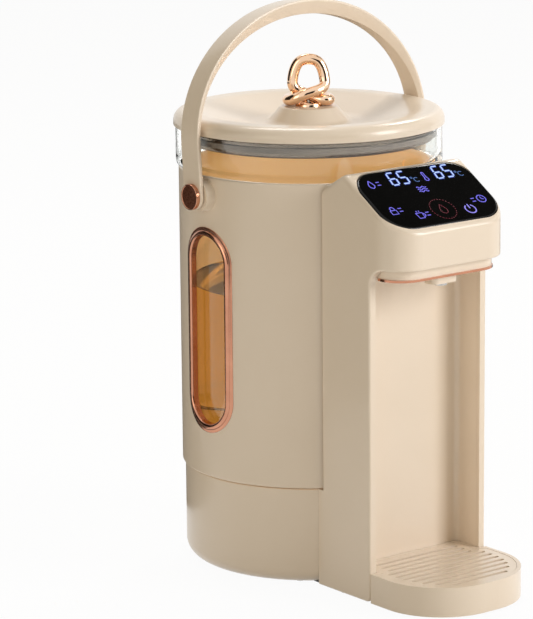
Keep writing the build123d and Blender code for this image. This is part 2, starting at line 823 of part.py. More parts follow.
with BuildPart() as spout_nozzle:
    with BuildSketch(level(nozzle_low)):
        with Locations((0, nozzle_y)):
            Circle(NOZZLE_R)
    extrude(amount=nozzle_seat - nozzle_low)
    with BuildSketch(level(nozzle_seat)):
        with Locations((0, nozzle_y)):
            Circle(NOZZLE_FLANGE_R)
    extrude(amount=PLINTH_WALL)
    with BuildSketch(level(nozzle_seat + PLINTH_WALL)):
        with Locations((0, nozzle_y)):
            Circle(SPIGOT_R)
    extrude(amount=NOZZLE_SPIGOT)
    with BuildSketch(level(nozzle_low)):
        with Locations((0, nozzle_y)):
            Circle(SPIGOT_BORE_R)
    extrude(amount=HEAD_BOTTOM, mode=Mode.SUBTRACT)

spout_nozzle.part.label = "spout_nozzle"
export_step(spout_nozzle.part, "parts/spout_nozzle.step")

# Touch panel glass
with BuildPart() as touch_glass:
    extrude(panel_face(0, 0), amount=-PANEL_GLASS)
    top_edges = touch_glass.faces().sort_by(Axis.Z)[-1].edges()
    fillet(top_edges, PANEL_EDGE)

touch_glass.part.label = "touch_glass"
export_step(touch_glass.part, "parts/touch_glass.step")

# Display board under the glass, with its two digit displays
with BuildPart() as display_board:
    with BuildSketch(PANEL.offset(-board_depth - TOUCH)):
        Rectangle(board_width, BOARD_LENGTH)
    extrude(amount=-BOARD_THICK)

display_board.part.label = "display_board"
export_step(display_board.part, "parts/display_board.step")

with BuildPart() as digit_displays:
    with BuildSketch(PANEL.offset(-board_depth)):
        with Locations((0, DIGITS_BACK)):
            with GridLocations(digits_apart, 0, 2, 1):
                Rectangle(DIGITS_WIDTH, DIGITS_LENGTH)
    extrude(amount=board_depth - PANEL_GLASS - FIT)

digit_displays.part.label = "digit_displays"
export_step(digit_displays.part, "parts/digit_displays.step")

# Valve socket in the deck, with the post that opens the pot's valve
valve_low = cover_z - VALVE_DIP
seat_top = valve_low + VALVE_SEAT
seal_z = seat_top + TOUCH + PLUNGER_LIFT
stem_low = seal_z - STEM_BELOW
socket_in = valve_low - SOCKET_CLEAR
socket_low = socket_in - SOCKET_FLOOR
hose_in = SPIGOT_R + TOUCH / 2
hose_out = hose_in + HOSE_WALL

with BuildPart() as valve_socket:
    with BuildSketch(level(socket_low)):
        with Locations((VALVE_X, VALVE_Y)):
            Circle(SOCKET_R + SOCKET_WALL)
    extrude(amount=deck_top - socket_low)
    with BuildSketch(level(deck_under - TOUCH)):
        with Locations((VALVE_X, VALVE_Y)):
            Circle(SOCKET_FLANGE_R)
    extrude(amount=-SOCKET_FLANGE)
    with BuildSketch(level(socket_in)):
        with Locations((VALVE_X, VALVE_Y)):
            Circle(SOCKET_R)
    extrude(amount=deck_top, mode=Mode.SUBTRACT)
    with BuildSketch(level(socket_low)):
        with Locations((VALVE_X, VALVE_Y)):
            Circle(SPIGOT_R)
    extrude(amount=-SPIGOT_LENGTH)
    with BuildSketch(level(socket_in)):
        with Locations((VALVE_X, VALVE_Y)):
            Circle(SPIGOT_BORE_R)
    extrude(amount=-socket_in, mode=Mode.SUBTRACT)
    # Web over the outlet that carries the opening post
    with BuildSketch(level(socket_in)):
        with Locations((VALVE_X, VALVE_Y)):
            Rectangle(SOCKET_R, WEB_THICK)
    extrude(amount=WEB_HEIGHT)
    with BuildSketch(level(socket_in)):
        with Locations((VALVE_X, VALVE_Y)):
            Circle(POST_R)
    extrude(amount=stem_low - FIT - socket_in)

valve_socket.part.label = "valve_socket"
export_step(valve_socket.part, "parts/valve_socket.step")

with BuildPart() as socket_seal:
    with BuildSketch(level(socket_in + SEAL_RISE)):
        with Locations((VALVE_X, VALVE_Y)):
            Circle(SOCKET_R - TOUCH)
            Circle(VALVE_R + FIT, mode=Mode.SUBTRACT)
    extrude(amount=SOCKET_SEAL)

socket_seal.part.label = "socket_seal"
export_step(socket_seal.part, "parts/socket_seal.step")

# Hose from the valve socket down to the pump
inlet_route = [
    (VALVE_X, VALVE_Y, socket_low - TOUCH),
    (VALVE_X, VALVE_Y, PUMP_Z),
    (VALVE_X, pump_face + TOUCH, PUMP_Z),
]
inlet_hose = hose(inlet_route, HOSE_END_BEND, hose_out, hose_in)
inlet_hose.part.label = "inlet_hose"
export_step(inlet_hose.part, "parts/inlet_hose.step")

# Pump: depths run forward from its inlet face
PUMP = Plane(origin=(VALVE_X, POT_Y + pump_face, PUMP_Z), x_dir=(1, 0, 0), z_dir=(0, -1, 0))
chamber_r = PUMP_R - PUMP_WALL
outlet_y = pump_face - OUTLET_DEPTH
outlet_z = PUMP_Z - chamber_r + SPIGOT_R + FIT
OUTLET = Plane(origin=(VALVE_X, POT_Y + outlet_y, outlet_z), x_dir=(0, 1, 0), z_dir=(1, 0, 0))

with BuildPart() as pump_housing:
    with BuildSketch(PUMP):
        Circle(PUMP_R)
    extrude(amount=PUMP_LENGTH)
    with BuildSketch(PUMP):
        Circle(SPIGOT_R)
    extrude(amount=-SPIGOT_LENGTH)
    with BuildSketch(OUTLET):
        Circle(SPIGOT_R)
    extrude(amount=OUTLET_REACH)
    with BuildSketch(PUMP.offset(PUMP_WALL)):
        Circle(chamber_r)
    extrude(amount=PUMP_LENGTH, mode=Mode.SUBTRACT)
    with BuildSketch(PUMP.offset(-SPIGOT_LENGTH)):
        Circle(SPIGOT_BORE_R)
    extrude(amount=PUMP_LENGTH, mode=Mode.SUBTRACT)
    with BuildSketch(OUTLET):
        Circle(SPIGOT_BORE_R)
    extrude(amount=OUTLET_REACH, mode=Mode.SUBTRACT)

pump_housing.part.label = "pump_housing"
export_step(pump_housing.part, "parts/pump_housing.step")

impeller_back = PUMP_LENGTH - IMPELLER_BACK
vane_front = impeller_back - IMPELLER_DISC - VANE_HEIGHT
motor_front = PUMP_LENGTH + TOUCH
motor_can = motor_front + MOTOR_FLANGE

with BuildPart() as pump_motor:
    with BuildSketch(PUMP.offset(motor_front)):
        Circle(PUMP_R)
    extrude(amount=MOTOR_FLANGE)
    with BuildSketch(PUMP.offset(motor_can)):
        Circle(MOTOR_R)
    extrude(amount=MOTOR_LENGTH)
    with BuildSketch(PUMP.offset(impeller_back + SHAFT_LENGTH + SHAFT_END)):
        Circle(SHAFT_R + PIN_RUN)
    extrude(amount=-MOTOR_LENGTH, mode=Mode.SUBTRACT)

pump_motor.part.label = "pump_motor"
export_step(pump_motor.part, "parts/pump_motor.step")

with BuildPart() as pump_rotor:
    with BuildSketch(PUMP.offset(impeller_back)):
        Circle(IMPELLER_R)
    extrude(amount=-IMPELLER_DISC)
    with BuildSketch(PUMP.offset(vane_front)):
        with PolarLocations(IMPELLER_R / 2, VANE_COUNT):
            Rectangle(IMPELLER_R - VANE_THICK, VANE_THICK)
        Circle(HUB_R)
    extrude(amount=VANE_HEIGHT)
    with BuildSketch(PUMP.offset(impeller_back)):
        Circle(SHAFT_R)
    extrude(amount=SHAFT_LENGTH)

pump_rotor.part.label = "pump_rotor"
export_step(pump_rotor.part, "parts/pump_rotor.step")

# Saddle that carries the motor, and its two screws
saddle_z = plate_top + TOUCH
ear_z = saddle_z + SADDLE_EAR_HEIGHT

with BuildPart() as pump_bracket:
    with BuildSketch(level(saddle_z)):
        with Locations((VALVE_X, saddle_y)):
            Rectangle(SADDLE_WIDTH + 2 * SADDLE_EAR, SADDLE_LENGTH)
    extrude(amount=SADDLE_EAR_HEIGHT)
    with BuildSketch(level(saddle_z)):
        with Locations((VALVE_X, saddle_y)):
            Rectangle(SADDLE_WIDTH, SADDLE_LENGTH)
    extrude(amount=SADDLE_HEIGHT)
    with BuildSketch(PUMP):
        Circle(MOTOR_R + TOUCH)
    extrude(amount=motor_can + MOTOR_LENGTH, mode=Mode.SUBTRACT)
    with BuildSketch(level(saddle_z)):
        with Locations(*saddle_places):
            Circle(SCREW_R + TOUCH)
    extrude(amount=SADDLE_HEIGHT, mode=Mode.SUBTRACT)

pump_bracket.part.label = "pump_bracket"
export_step(pump_bracket.part, "parts/pump_bracket.step")

bracket_screws = screws(
    ear_z, saddle_places, -1, SMALL_HEAD_R, SMALL_HEAD, SCREW_R, SADDLE_EAR_HEIGHT + PLATE_THICK
)
bracket_screws.part.label = "bracket_screws"
export_step(bracket_screws.part, "parts/bracket_screws.step")

# Hose from the pump along the base, up the column and over to the nozzle
back_out = column_r + BACK_THICK
hose_y = (liner_back - sqrt(back_out * back_out - HOSE_X * HOSE_X)) / 2
outlet_route = [
    (VALVE_X + OUTLET_REACH - SPIGOT_LENGTH, outlet_y, outlet_z),
    (HOSE_X, outlet_y, outlet_z),
    (HOSE_X, hose_y, outlet_z),
    (HOSE_X, hose_y, HOSE_HEAD_Z),
    (0, nozzle_y, HOSE_HEAD_Z),
    (0, nozzle_y, nozzle_seat + PLINTH_WALL + TOUCH),
]
outlet_bends = [HOSE_BEND, HOSE_BEND, HOSE_TOP_BEND, HOSE_END_BEND]
outlet_hose = hose(outlet_route, outlet_bends, hose_out, hose_in)
outlet_hose.part.label = "outlet_hose"
export_step(outlet_hose.part, "parts/outlet_hose.step")

# Control board on the bottom plate
pcb_top = pcb_z + TOUCH + BOARD_THICK

with BuildPart() as control_board:
    with BuildSketch(level(pcb_z + TOUCH)):
        with Locations((PCB_X, pcb_y)):
            Rectangle(PCB_WIDTH, pcb_length)
        with Locations(*pcb_places):
            Circle(SCREW_HOLE_R, mode=Mode.SUBTRACT)
    extrude(amount=BOARD_THICK)

control_board.part.label = "control_board"
export_step(control_board.part, "parts/control_board.step")

board_screws = screws(
    pcb_top + TOUCH, pcb_places, -1, SMALL_HEAD_R, SMALL_HEAD, SCREW_R, PCB_STANDOFF
)
board_screws.part.label = "board_screws"
export_step(board_screws.part, "parts/board_screws.step")

# Larger parts on the board: transformer, relay, terminals, connector, capacitor
lead_y = pcb_y + pcb_length / 2 - TERMINALS[1]
board_blocks = [
    (TRANSFORMER, PCB_X + TRANSFORMER_X, pcb_y + TRANSFORMER_Y),
    (RELAY, PCB_X - RELAY_X, pcb_y),
    (TERMINALS, 0, lead_y),
    (LEAD_BLOCK, 0, COUPLER_LEADS_Y),
    (CONNECTOR, CABLE_X, CABLE_START_Y),
]

with BuildPart() as board_parts:
    for size, x, y in board_blocks:
        with BuildSketch(level(pcb_top)):
            with Locations((x, y)):
                Rectangle(size[0], size[1])
        extrude(amount=size[2])
    with BuildSketch(level(pcb_top)):
        with Locations((PCB_X + CAPACITOR_X, COUPLER_LEADS_Y)):
            Circle(CAPACITOR_R)
    extrude(amount=CAPACITOR_HEIGHT)

board_parts.part.label = "board_parts"
export_step(board_parts.part, "parts/board_parts.step")

# Mains inlet in the back of the drum: a socket body with a flange and three blades
inlet_back = inlet_y - INLET_DEPTH
cavity_depth = INLET_DEPTH - INLET_FLANGE

with BuildPart() as power_inlet:
    with BuildSketch(LATHE.offset(-inlet_back)):
        with Locations((0, INLET_Z)):
            Rectangle(INLET_WIDTH, INLET_HEIGHT)
    extrude(amount=-INLET_DEPTH)
    with BuildSketch(LATHE.offset(-inlet_y)):
        with Locations((0, INLET_Z)):
            Rectangle(INLET_FLANGE_WIDTH, INLET_FLANGE_HEIGHT)
    extrude(amount=INLET_FLANGE)
    with BuildSketch(LATHE.offset(-inlet_y)):
        with Locations((0, INLET_Z)):
            Rectangle(INLET_WIDTH - 2 * INLET_WALL, INLET_HEIGHT - 2 * INLET_WALL)
    extrude(amount=cavity_depth, mode=Mode.SUBTRACT)

power_inlet.part.label = "power_inlet"
export_step(power_inlet.part, "parts/power_inlet.step")

with BuildPart() as inlet_pins:
    with BuildSketch(LATHE.offset(-inlet_y + cavity_depth)):
        with Locations((-LEAD_X, INLET_Z - BLADE_HEIGHT / 2), (LEAD_X, INLET_Z - BLADE_HEIGHT / 2)):
            Rectangle(BLADE_WIDTH, BLADE_HEIGHT)
        with Locations((0, INLET_Z + BLADE_HEIGHT / 2)):
            Rectangle(BLADE_WIDTH, BLADE_HEIGHT)
    extrude(amount=-BLADE_LENGTH)

inlet_pins.part.label = "inlet_pins"
export_step(inlet_pins.part, "parts/inlet_pins.step")


def wires(routes, bend, radius):
    """A group of separate wires of one thickness."""
    runs = [hose(route, bend, radius, 0).part for route in routes]
    with BuildPart() as group:
        for run in runs:
            add(run)
    return group


# Wires: inlet to board, board to coupler, board to pump, board to display
mains_routes = [
    [
        (x, inlet_back - TOUCH, INLET_Z),
        (x, lead_y, INLET_Z),
        (x, lead_y, pcb_top + TERMINALS[2] + TOUCH),
    ]
    for x in (-LEAD_X, LEAD_X)
]
mains_leads = wires(mains_routes, LEAD_BEND, LEAD_R)
mains_leads.part.label = "mains_leads"
export_step(mains_leads.part, "parts/mains_leads.step")

plug_low = deck_top - PLUG_DROP
lead_block_top = pcb_top + LEAD_BLOCK[2] + TOUCH

with BuildPart() as coupler_leads:
    with BuildSketch(level(lead_block_top)):
        with Locations((0, COUPLER_LEADS_Y)):
            with GridLocations(COUPLER_LEAD_PITCH, 0, COUPLER_LEADS, 1):
                Circle(LEAD_R)
    extrude(amount=plug_low - TOUCH - lead_block_top)

coupler_leads.part.label = "coupler_leads"
export_step(coupler_leads.part, "parts/coupler_leads.step")

motor_back = pump_face - motor_can - MOTOR_LENGTH
motor_routes = []
for side in (-1, 1):
    lead_z = PUMP_Z + side * MOTOR_LEAD_STEP / 2
    out_y = motor_back - MOTOR_LEAD_OUT
    end_y = MOTOR_LEAD_Y + side * MOTOR_LEAD_STEP / 2
    motor_routes.append([
        (VALVE_X, motor_back - TOUCH, lead_z),
        (VALVE_X, out_y, lead_z),
        (MOTOR_LEAD_X, out_y, lead_z),
        (MOTOR_LEAD_X, end_y, lead_z),
        (MOTOR_LEAD_X, end_y, pcb_top + TOUCH),
    ])
motor_leads = wires(motor_routes, LEAD_BEND, MOTOR_LEAD_R)
motor_leads.part.label = "motor_leads"
export_step(motor_leads.part, "parts/motor_leads.step")

cable_y = liner_back + CABLE_BACK
board_under = board_depth + 2 * TOUCH + BOARD_THICK
cable_end_y = cable_y - CABLE_LEAN * sin(radians(PANEL_SLOPE))
cable_drop = board_under / cos(radians(PANEL_SLOPE))
cable_end_z = panel_mid_z + (cable_end_y - panel_mid_y) * slope_rise - cable_drop
cable_route = [
    (CABLE_X, CABLE_START_Y, pcb_top + CONNECTOR[2] + TOUCH),
    (CABLE_X, CABLE_START_Y, CABLE_RUN_Z),
    (CABLE_X, cable_y, CABLE_RUN_Z),
    (CABLE_X, cable_y, cable_end_z - CABLE_LEAN * cos(radians(PANEL_SLOPE))),
    (CABLE_X, cable_end_y, cable_end_z),
]
display_cable = wires([cable_route], CABLE_BEND, CABLE_R)
display_cable.part.label = "display_cable"
export_step(display_cable.part, "parts/display_cable.step")

# Fixed half of the coupler, in the middle of the deck
with BuildPart() as coupler_plug:
    with BuildSketch(level(plug_low)):
        Circle(PLUG_R)
    extrude(amount=PLUG_DROP + PLUG_RISE)
    with BuildSketch(level(deck_under - TOUCH)):
        Circle(PLUG_FLANGE_R)
    extrude(amount=-SOCKET_FLANGE)
    with BuildSketch(level(deck_top + PLUG_RISE)):
        Circle(NOSE_R)
    extrude(amount=NOSE_HEIGHT)

coupler_plug.part.label = "coupler_plug"
export_step(coupler_plug.part, "parts/coupler_plug.step")

# Drip tray: wide in front, narrower where it runs into the cup recess
tray_z = floor_z + TRAY_LIFT
tray_top = tray_z + TRAY_HEIGHT
tray_shoulder = column_y - COLUMN_GAP
tray_narrow = recess_half - SLIDE_GAP
tray_back = recess_y - SLIDE_GAP
slot_top = plate_top + SLIDE_GAP
tray_floor = slot_top + TRAY_FLOOR
ledge_z = tray_top - GRATE_DROP - GRATE_THICK - TOUCH
basin_inset = TRAY_WALL + TRAY_LEDGE


def tray_plans(height, inset):
    """The tray's two plan outlines at a level, drawn in by an inset."""
    wide = plan(height, HEAD_HALF - inset, tray_y + inset, tray_shoulder - inset, tray_corner - inset, 0)
    back_round = max(LINER_ROUND + SLIDE_GAP - inset, TOUCH)
    narrow = plan(height, tray_narrow - inset, column_y - TRAY_OVERLAP, tray_back - inset, 0, back_round)
    return [wide, narrow]


with BuildPart() as drip_tray:
    for face in tray_plans(tray_z, 0):
        extrude(face, amount=TRAY_HEIGHT)
    for face in tray_plans(ledge_z, TRAY_WALL):
        extrude(face, amount=TRAY_HEIGHT, mode=Mode.SUBTRACT)
    for face in tray_plans(tray_floor, basin_inset):
        extrude(face, amount=TRAY_HEIGHT, mode=Mode.SUBTRACT)
    # Channel under the tray for the bottom plate's tongue
    channel = plan(0, tongue_half + SLIDE_GAP, tongue_y - SLIDE_GAP, 0, 0, 0)
    extrude(channel, amount=slot_top, mode=Mode.SUBTRACT)

drip_tray.part.label = "drip_tray"
export_step(drip_tray.part, "parts/drip_tray.step")

# Slotted grate that lies in the tray
grate_inset = TRAY_WALL + FIT
grate_z = ledge_z + TOUCH
corner_r = tray_corner - grate_inset
corner_y = tray_y + tray_corner
slot_first = tray_back - grate_inset - SLOT_INSET - SLOT_WIDTH / 2
slot_last = tray_y + grate_inset + SLOT_INSET + SLOT_WIDTH / 2
slot_count = int((slot_first - slot_last) / SLOT_PITCH) + 1


def grate_half(y):
    """Half the width of the grate at a depth."""
    if y > tray_shoulder - SLOT_PITCH / 2:
        return tray_narrow - grate_inset
    if y > corner_y:
        return HEAD_HALF - grate_inset
    reach = corner_y - y + SLOT_WIDTH / 2
    return HEAD_HALF - grate_inset - corner_r + sqrt(corner_r * corner_r - reach * reach)


with BuildPart() as drip_grate:
    for face in tray_plans(grate_z, grate_inset):
        extrude(face, amount=GRATE_THICK)
    with BuildSketch(level(grate_z)):
        for i in range(slot_count):
            slot_y = slot_first - i * SLOT_PITCH
            with Locations((0, slot_y)):
                SlotOverall(2 * (grate_half(slot_y) - SLOT_INSET), SLOT_WIDTH)
    extrude(amount=GRATE_THICK, mode=Mode.SUBTRACT)

drip_grate.part.label = "drip_grate"
export_step(drip_grate.part, "parts/drip_grate.step")

# Pot shell, with a ledge for the bottom cover and two handle bosses
cover_flange_z = shell_bottom + FLANGE_RISE
ledge_low = cover_flange_z + COVER_FLANGE + TOUCH
ledge_in = cover_r + LEDGE_CLEAR
flange_in = vessel_r + SLIDE_GAP
leg_in = SHELL_R + LEG_GAP
leg_out = leg_in + LEG_THICK
window_room = pivot_z - PIN_BOSS_R - shell_bottom - WINDOW_LENGTH
window_z = shell_bottom + WINDOW_LOW_SHARE * window_room + WINDOW_LENGTH / 2
neck_length = WINDOW_LENGTH - 2 * FRAME_NECK
neck_width = WINDOW_WIDTH - 2 * FRAME_NECK
shell_corners = [
    (shell_in, shell_bottom),
    (SHELL_R, shell_bottom),
    (SHELL_R, shell_top),
    (flange_in, shell_top),
    (flange_in, shell_top - TOP_FLANGE),
    (shell_in, shell_top - TOP_FLANGE),
    (shell_in, ledge_low + COVER_FLANGE),
    (ledge_in, ledge_low + COVER_FLANGE),
    (ledge_in, ledge_low),
    (shell_in, ledge_low),
]
shell_radii = [0, SHELL_EDGE, SHELL_EDGE, 0, 0, 0, 0, 0, 0, 0]

with BuildPart() as pot_shell:
    revolve(outline(LATHE, shell_corners, shell_radii), axis=POT_AXIS)
    for side in (-1, 1):
        with BuildSketch(SIDE.offset(side * (shell_in + FIT))):
            with Locations((0, pivot_z)):
                Circle(PIN_BOSS_R)
        extrude(amount=side * (leg_in - SEAT_GAP - shell_in - FIT))
    with BuildSketch(SIDE.offset(-leg_in)):
        with Locations((0, pivot_z)):
            Circle(PIN_R + TOUCH / 2)
    extrude(amount=2 * leg_in, mode=Mode.SUBTRACT)
    with BuildSketch(SIDE.offset(-SHELL_R / 2)):
        with Locations((0, window_z)):
            SlotOverall(neck_length + 2 * FIT, neck_width + 2 * FIT, rotation=90)
    extrude(amount=-SHELL_R, mode=Mode.SUBTRACT)

pot_shell.part.label = "pot_shell"
export_step(pot_shell.part, "parts/pot_shell.step")

# Glass vessel: open tube, with a wider collar standing on top of the shell
vessel_corners = [
    (vessel_in, vessel_z),
    (vessel_r, vessel_z),
    (vessel_r, collar_z),
    (collar_r, collar_z),
    (collar_r, rim_z),
    (collar_in, rim_z),
    (collar_in, collar_z + NECK_HIGH),
    (vessel_in, collar_z + NECK_LOW),
]
vessel_radii = [0, 0, 0, COLLAR_ROUND, 0, 0, NECK_ROUND, NECK_ROUND]

with BuildPart() as glass_vessel:
    revolve(outline(LATHE, vessel_corners, vessel_radii), axis=POT_AXIS)

glass_vessel.part.label = "glass_vessel"
export_step(glass_vessel.part, "parts/glass_vessel.step")


def curved_plate(length, width, inner, outer):
    """A stadium-shaped plate bent round the pot, on its left side."""
    with BuildPart() as bent:
        with BuildSketch(level(shell_bottom)):
            Circle(outer)
            Circle(inner, mode=Mode.SUBTRACT)
        extrude(amount=SHELL_HEIGHT)
        with BuildSketch(SIDE):
            with Locations((0, window_z)):
                SlotOverall(length, width, rotation=90)
        extrude(amount=-2 * SHELL_R, mode=Mode.INTERSECT)
    return bent.part


# Frame of the level window: a rim on the shell and a neck through it
frame_rim = curved_plate(WINDOW_LENGTH, WINDOW_WIDTH, SHELL_R + TOUCH, SHELL_R + FRAME_PROUD)
frame_neck = curved_plate(neck_length, neck_width, vessel_r + SLIDE_GAP, SHELL_R + SLIDE_GAP)

with BuildPart() as window_bezel:
    add(frame_rim)
    fillet(window_bezel.faces().sort_by(Axis.X)[0].edges(), FRAME_ROUND)
    add(frame_neck)
    with BuildSketch(SIDE):
        with Locations((0, window_z)):
            SlotOverall(WINDOW_LENGTH - 2 * FRAME_WIDTH, WINDOW_WIDTH - 2 * FRAME_WIDTH, rotation=90)
    extrude(amount=-2 * SHELL_R, mode=Mode.SUBTRACT)

window_bezel.part.label = "window_bezel"
export_step(window_bezel.part, "parts/window_bezel.step")

# Bottom cover of the pot
cover_corners = [
    (0, cover_z),
    (cover_r, cover_z),
    (cover_r, cover_flange_z),
    (shell_in - FIT, cover_flange_z),
    (shell_in - FIT, cover_flange_z + COVER_FLANGE),
    (cover_r, cover_flange_z + COVER_FLANGE),
    (cover_r, cover_z + COVER_HEIGHT),
    (cover_in, cover_z + COVER_HEIGHT),
    (cover_in, cover_top),
    (0, cover_top),
]
stud_low = steel_z - STUD_DROP

with BuildPart() as pot_base_cover:
    revolve(outline(LATHE, cover_corners, [0] * len(cover_corners)), axis=POT_AXIS)
    with BuildSketch(level(cover_top)):
        with Locations(*stud_places):
            Circle(STUD_PAD_R)
    extrude(amount=stud_low - TOUCH - cover_top)
    with BuildSketch(level(cover_z)):
        Circle(PLUG_R + COUPLER_CLEAR)
        with Locations((VALVE_X, VALVE_Y)):
            Circle(VALVE_R + 2 * FIT)
    extrude(amount=COVER_FLOOR, mode=Mode.SUBTRACT)
    with BuildSketch(level(cover_z)):
        with Locations(*stud_places):
            Circle(SCREW_HOLE_R)
    extrude(amount=COVER_HEIGHT, mode=Mode.SUBTRACT)
    with BuildSketch(level(cover_z)):
        with Locations(*stud_places):
            Circle(SMALL_HEAD_R + FIT)
    extrude(amount=HEAD_RECESS, mode=Mode.SUBTRACT)

pot_base_cover.part.label = "pot_base_cover"
export_step(pot_base_cover.part, "parts/pot_base_cover.step")

cover_screws = screws(
    cover_z + HEAD_RECESS, stud_places, 1, SMALL_HEAD_R, SMALL_HEAD, SCREW_R, SCREW_LENGTH
)
cover_screws.part.label = "cover_screws"
export_step(cover_screws.part, "parts/cover_screws.step")

# Heated steel floor of the vessel, its seal and its ring element
with BuildPart() as heater_plate:
    with BuildSketch(level(steel_z)):
        Circle(vessel_r - SLIDE_GAP)
        with Locations((VALVE_X, VALVE_Y)):
            Circle(VALVE_R + TOUCH, mode=Mode.SUBTRACT)
        with Locations((PROBE_X, 0)):
            Circle(PROBE_R + TOUCH, mode=Mode.SUBTRACT)
    extrude(amount=PLATE_STEEL)
    with BuildSketch(level(steel_z)):
        with Locations(*stud_places):
            Circle(STUD_R)
    extrude(amount=-STUD_DROP)
    with BuildSketch(level(stud_low)):
        with Locations(*stud_places):
            Circle(SCREW_R + TOUCH)
    extrude(amount=SCREW_LENGTH, mode=Mode.SUBTRACT)

heater_plate.part.label = "heater_plate"
export_step(heater_plate.part, "parts/heater_plate.step")

with BuildPart() as heater_seal:
    with BuildSketch(level(steel_top + TOUCH)):
        Circle(vessel_r - TOUCH)
        Circle(vessel_in - FIT, mode=Mode.SUBTRACT)
    extrude(amount=SEAL_THICK)

heater_seal.part.label = "heater_seal"
export_step(heater_seal.part, "parts/heater_seal.step")

terminal_x = HEATER_R * sin(radians(TERMINAL_ANGLE))
terminal_y = HEATER_R * cos(radians(TERMINAL_ANGLE))
heater_low = steel_z - TOUCH - HEATER_HEIGHT

with BuildPart() as heater_element:
    with BuildSketch(level(heater_low)):
        Circle(HEATER_R + HEATER_WIDTH / 2)
        Circle(HEATER_R - HEATER_WIDTH / 2, mode=Mode.SUBTRACT)
    extrude(amount=HEATER_HEIGHT)
    with BuildSketch(level(heater_low)):
        with Locations((-terminal_x, terminal_y), (terminal_x, terminal_y)):
            Circle(TERMINAL_R)
    extrude(amount=-TERMINAL_LENGTH)

heater_element.part.label = "heater_element"
export_step(heater_element.part, "parts/heater_element.step")

with BuildPart() as thermostat:
    with BuildSketch(level(steel_z - TOUCH)):
        with Locations((0, THERMOSTAT_Y)):
            Circle(THERMOSTAT_R)
    extrude(amount=-THERMOSTAT_HEIGHT)

thermostat.part.label = "thermostat"
export_step(thermostat.part, "parts/thermostat.step")

with BuildPart() as ntc_probe:
    with BuildSketch(level(steel_z - PROBE_LENGTH / 2)):
        with Locations((PROBE_X, 0)):
            Circle(PROBE_R)
    extrude(amount=PROBE_LENGTH)

ntc_probe.part.label = "ntc_probe"
export_step(ntc_probe.part, "parts/ntc_probe.step")

# Pot half of the coupler, and the leads from it to the heater
coupler_z = cover_top + TOUCH
coupler_r = PLUG_R + COUPLER_GAP + COUPLER_WALL
plug_top = deck_top + PLUG_RISE

with BuildPart() as coupler_socket:
    with BuildSketch(level(coupler_z)):
        Circle(coupler_r)
    extrude(amount=COUPLER_HEIGHT)
    with BuildSketch(level(coupler_z)):
        Circle(PLUG_R + COUPLER_GAP)
    extrude(amount=plug_top + COUPLER_GAP - coupler_z, mode=Mode.SUBTRACT)
    with BuildSketch(level(coupler_z)):
        Circle(NOSE_R + COUPLER_GAP)
    extrude(amount=plug_top + NOSE_HEIGHT + COUPLER_GAP - coupler_z, mode=Mode.SUBTRACT)

coupler_socket.part.label = "coupler_socket"
export_step(coupler_socket.part, "parts/coupler_socket.step")

lead_start = sqrt(coupler_r * coupler_r - (terminal_x - LEAD_R) * (terminal_x - LEAD_R)) + TOUCH

with BuildPart() as pot_leads:
    with BuildSketch(LATHE.offset(-lead_start)):
        with Locations((-terminal_x, POT_LEAD_Z), (terminal_x, POT_LEAD_Z)):
            Circle(LEAD_R)
    extrude(amount=-(terminal_y - TERMINAL_R - FIT - lead_start))

pot_leads.part.label = "pot_leads"
export_step(pot_leads.part, "parts/pot_leads.step")

# Outlet valve of the pot: body, nut, plunger with its seal, and closing spring
valve_in = VALVE_R - VALVE_WALL
valve_flange_z = steel_top + TOUCH
cage_z = valve_flange_z - VALVE_CAGE
disc_z = seal_z + PLUNGER_SEAL
disc_top = disc_z + PLUNGER_DISC

with BuildPart() as valve_body:
    with BuildSketch(level(valve_low)):
        with Locations((VALVE_X, VALVE_Y)):
            Circle(VALVE_R)
    extrude(amount=valve_flange_z - valve_low)
    with BuildSketch(level(valve_flange_z)):
        with Locations((VALVE_X, VALVE_Y)):
            Circle(VALVE_FLANGE_R)
            Circle(valve_in, mode=Mode.SUBTRACT)
    extrude(amount=VALVE_FLANGE)
    with BuildSketch(level(seat_top)):
        with Locations((VALVE_X, VALVE_Y)):
            Circle(valve_in)
    extrude(amount=cage_z - seat_top, mode=Mode.SUBTRACT)
    with BuildSketch(level(valve_low)):
        with Locations((VALVE_X, VALVE_Y)):
            Circle(VALVE_HOLE_R)
    extrude(amount=VALVE_SEAT, mode=Mode.SUBTRACT)
    # Cage at the top: a guide for the stem and ports for the water
    with BuildSketch(level(cage_z)):
        with Locations((VALVE_X, VALVE_Y)):
            Circle(STEM_R + PIN_RUN)
            with PolarLocations(SPRING_R, VANE_COUNT):
                Circle(VALVE_PORT_R)
    extrude(amount=VALVE_CAGE, mode=Mode.SUBTRACT)

valve_body.part.label = "valve_body"
export_step(valve_body.part, "parts/valve_body.step")

with BuildPart() as valve_nut:
    with BuildSketch(level(steel_z - TOUCH)):
        with Locations((VALVE_X, VALVE_Y)):
            RegularPolygon(VALVE_FLANGE_R, 6)
            Circle(VALVE_R + TOUCH, mode=Mode.SUBTRACT)
    extrude(amount=-NUT_HEIGHT)

valve_nut.part.label = "valve_nut"
export_step(valve_nut.part, "parts/valve_nut.step")

with BuildPart() as valve_plunger:
    with BuildSketch(level(disc_z)):
        with Locations((VALVE_X, VALVE_Y)):
            Circle(PLUNGER_R)
    extrude(amount=PLUNGER_DISC)
    with BuildSketch(level(stem_low)):
        with Locations((VALVE_X, VALVE_Y)):
            Circle(STEM_R)
    extrude(amount=valve_flange_z + STEM_ABOVE - stem_low)

valve_plunger.part.label = "valve_plunger"
export_step(valve_plunger.part, "parts/valve_plunger.step")

with BuildPart() as plunger_seal:
    with BuildSketch(level(seal_z)):
        with Locations((VALVE_X, VALVE_Y)):
            Circle(PLUNGER_R)
            Circle(STEM_R + TOUCH / 2, mode=Mode.SUBTRACT)
    extrude(amount=PLUNGER_SEAL - TOUCH / 2)

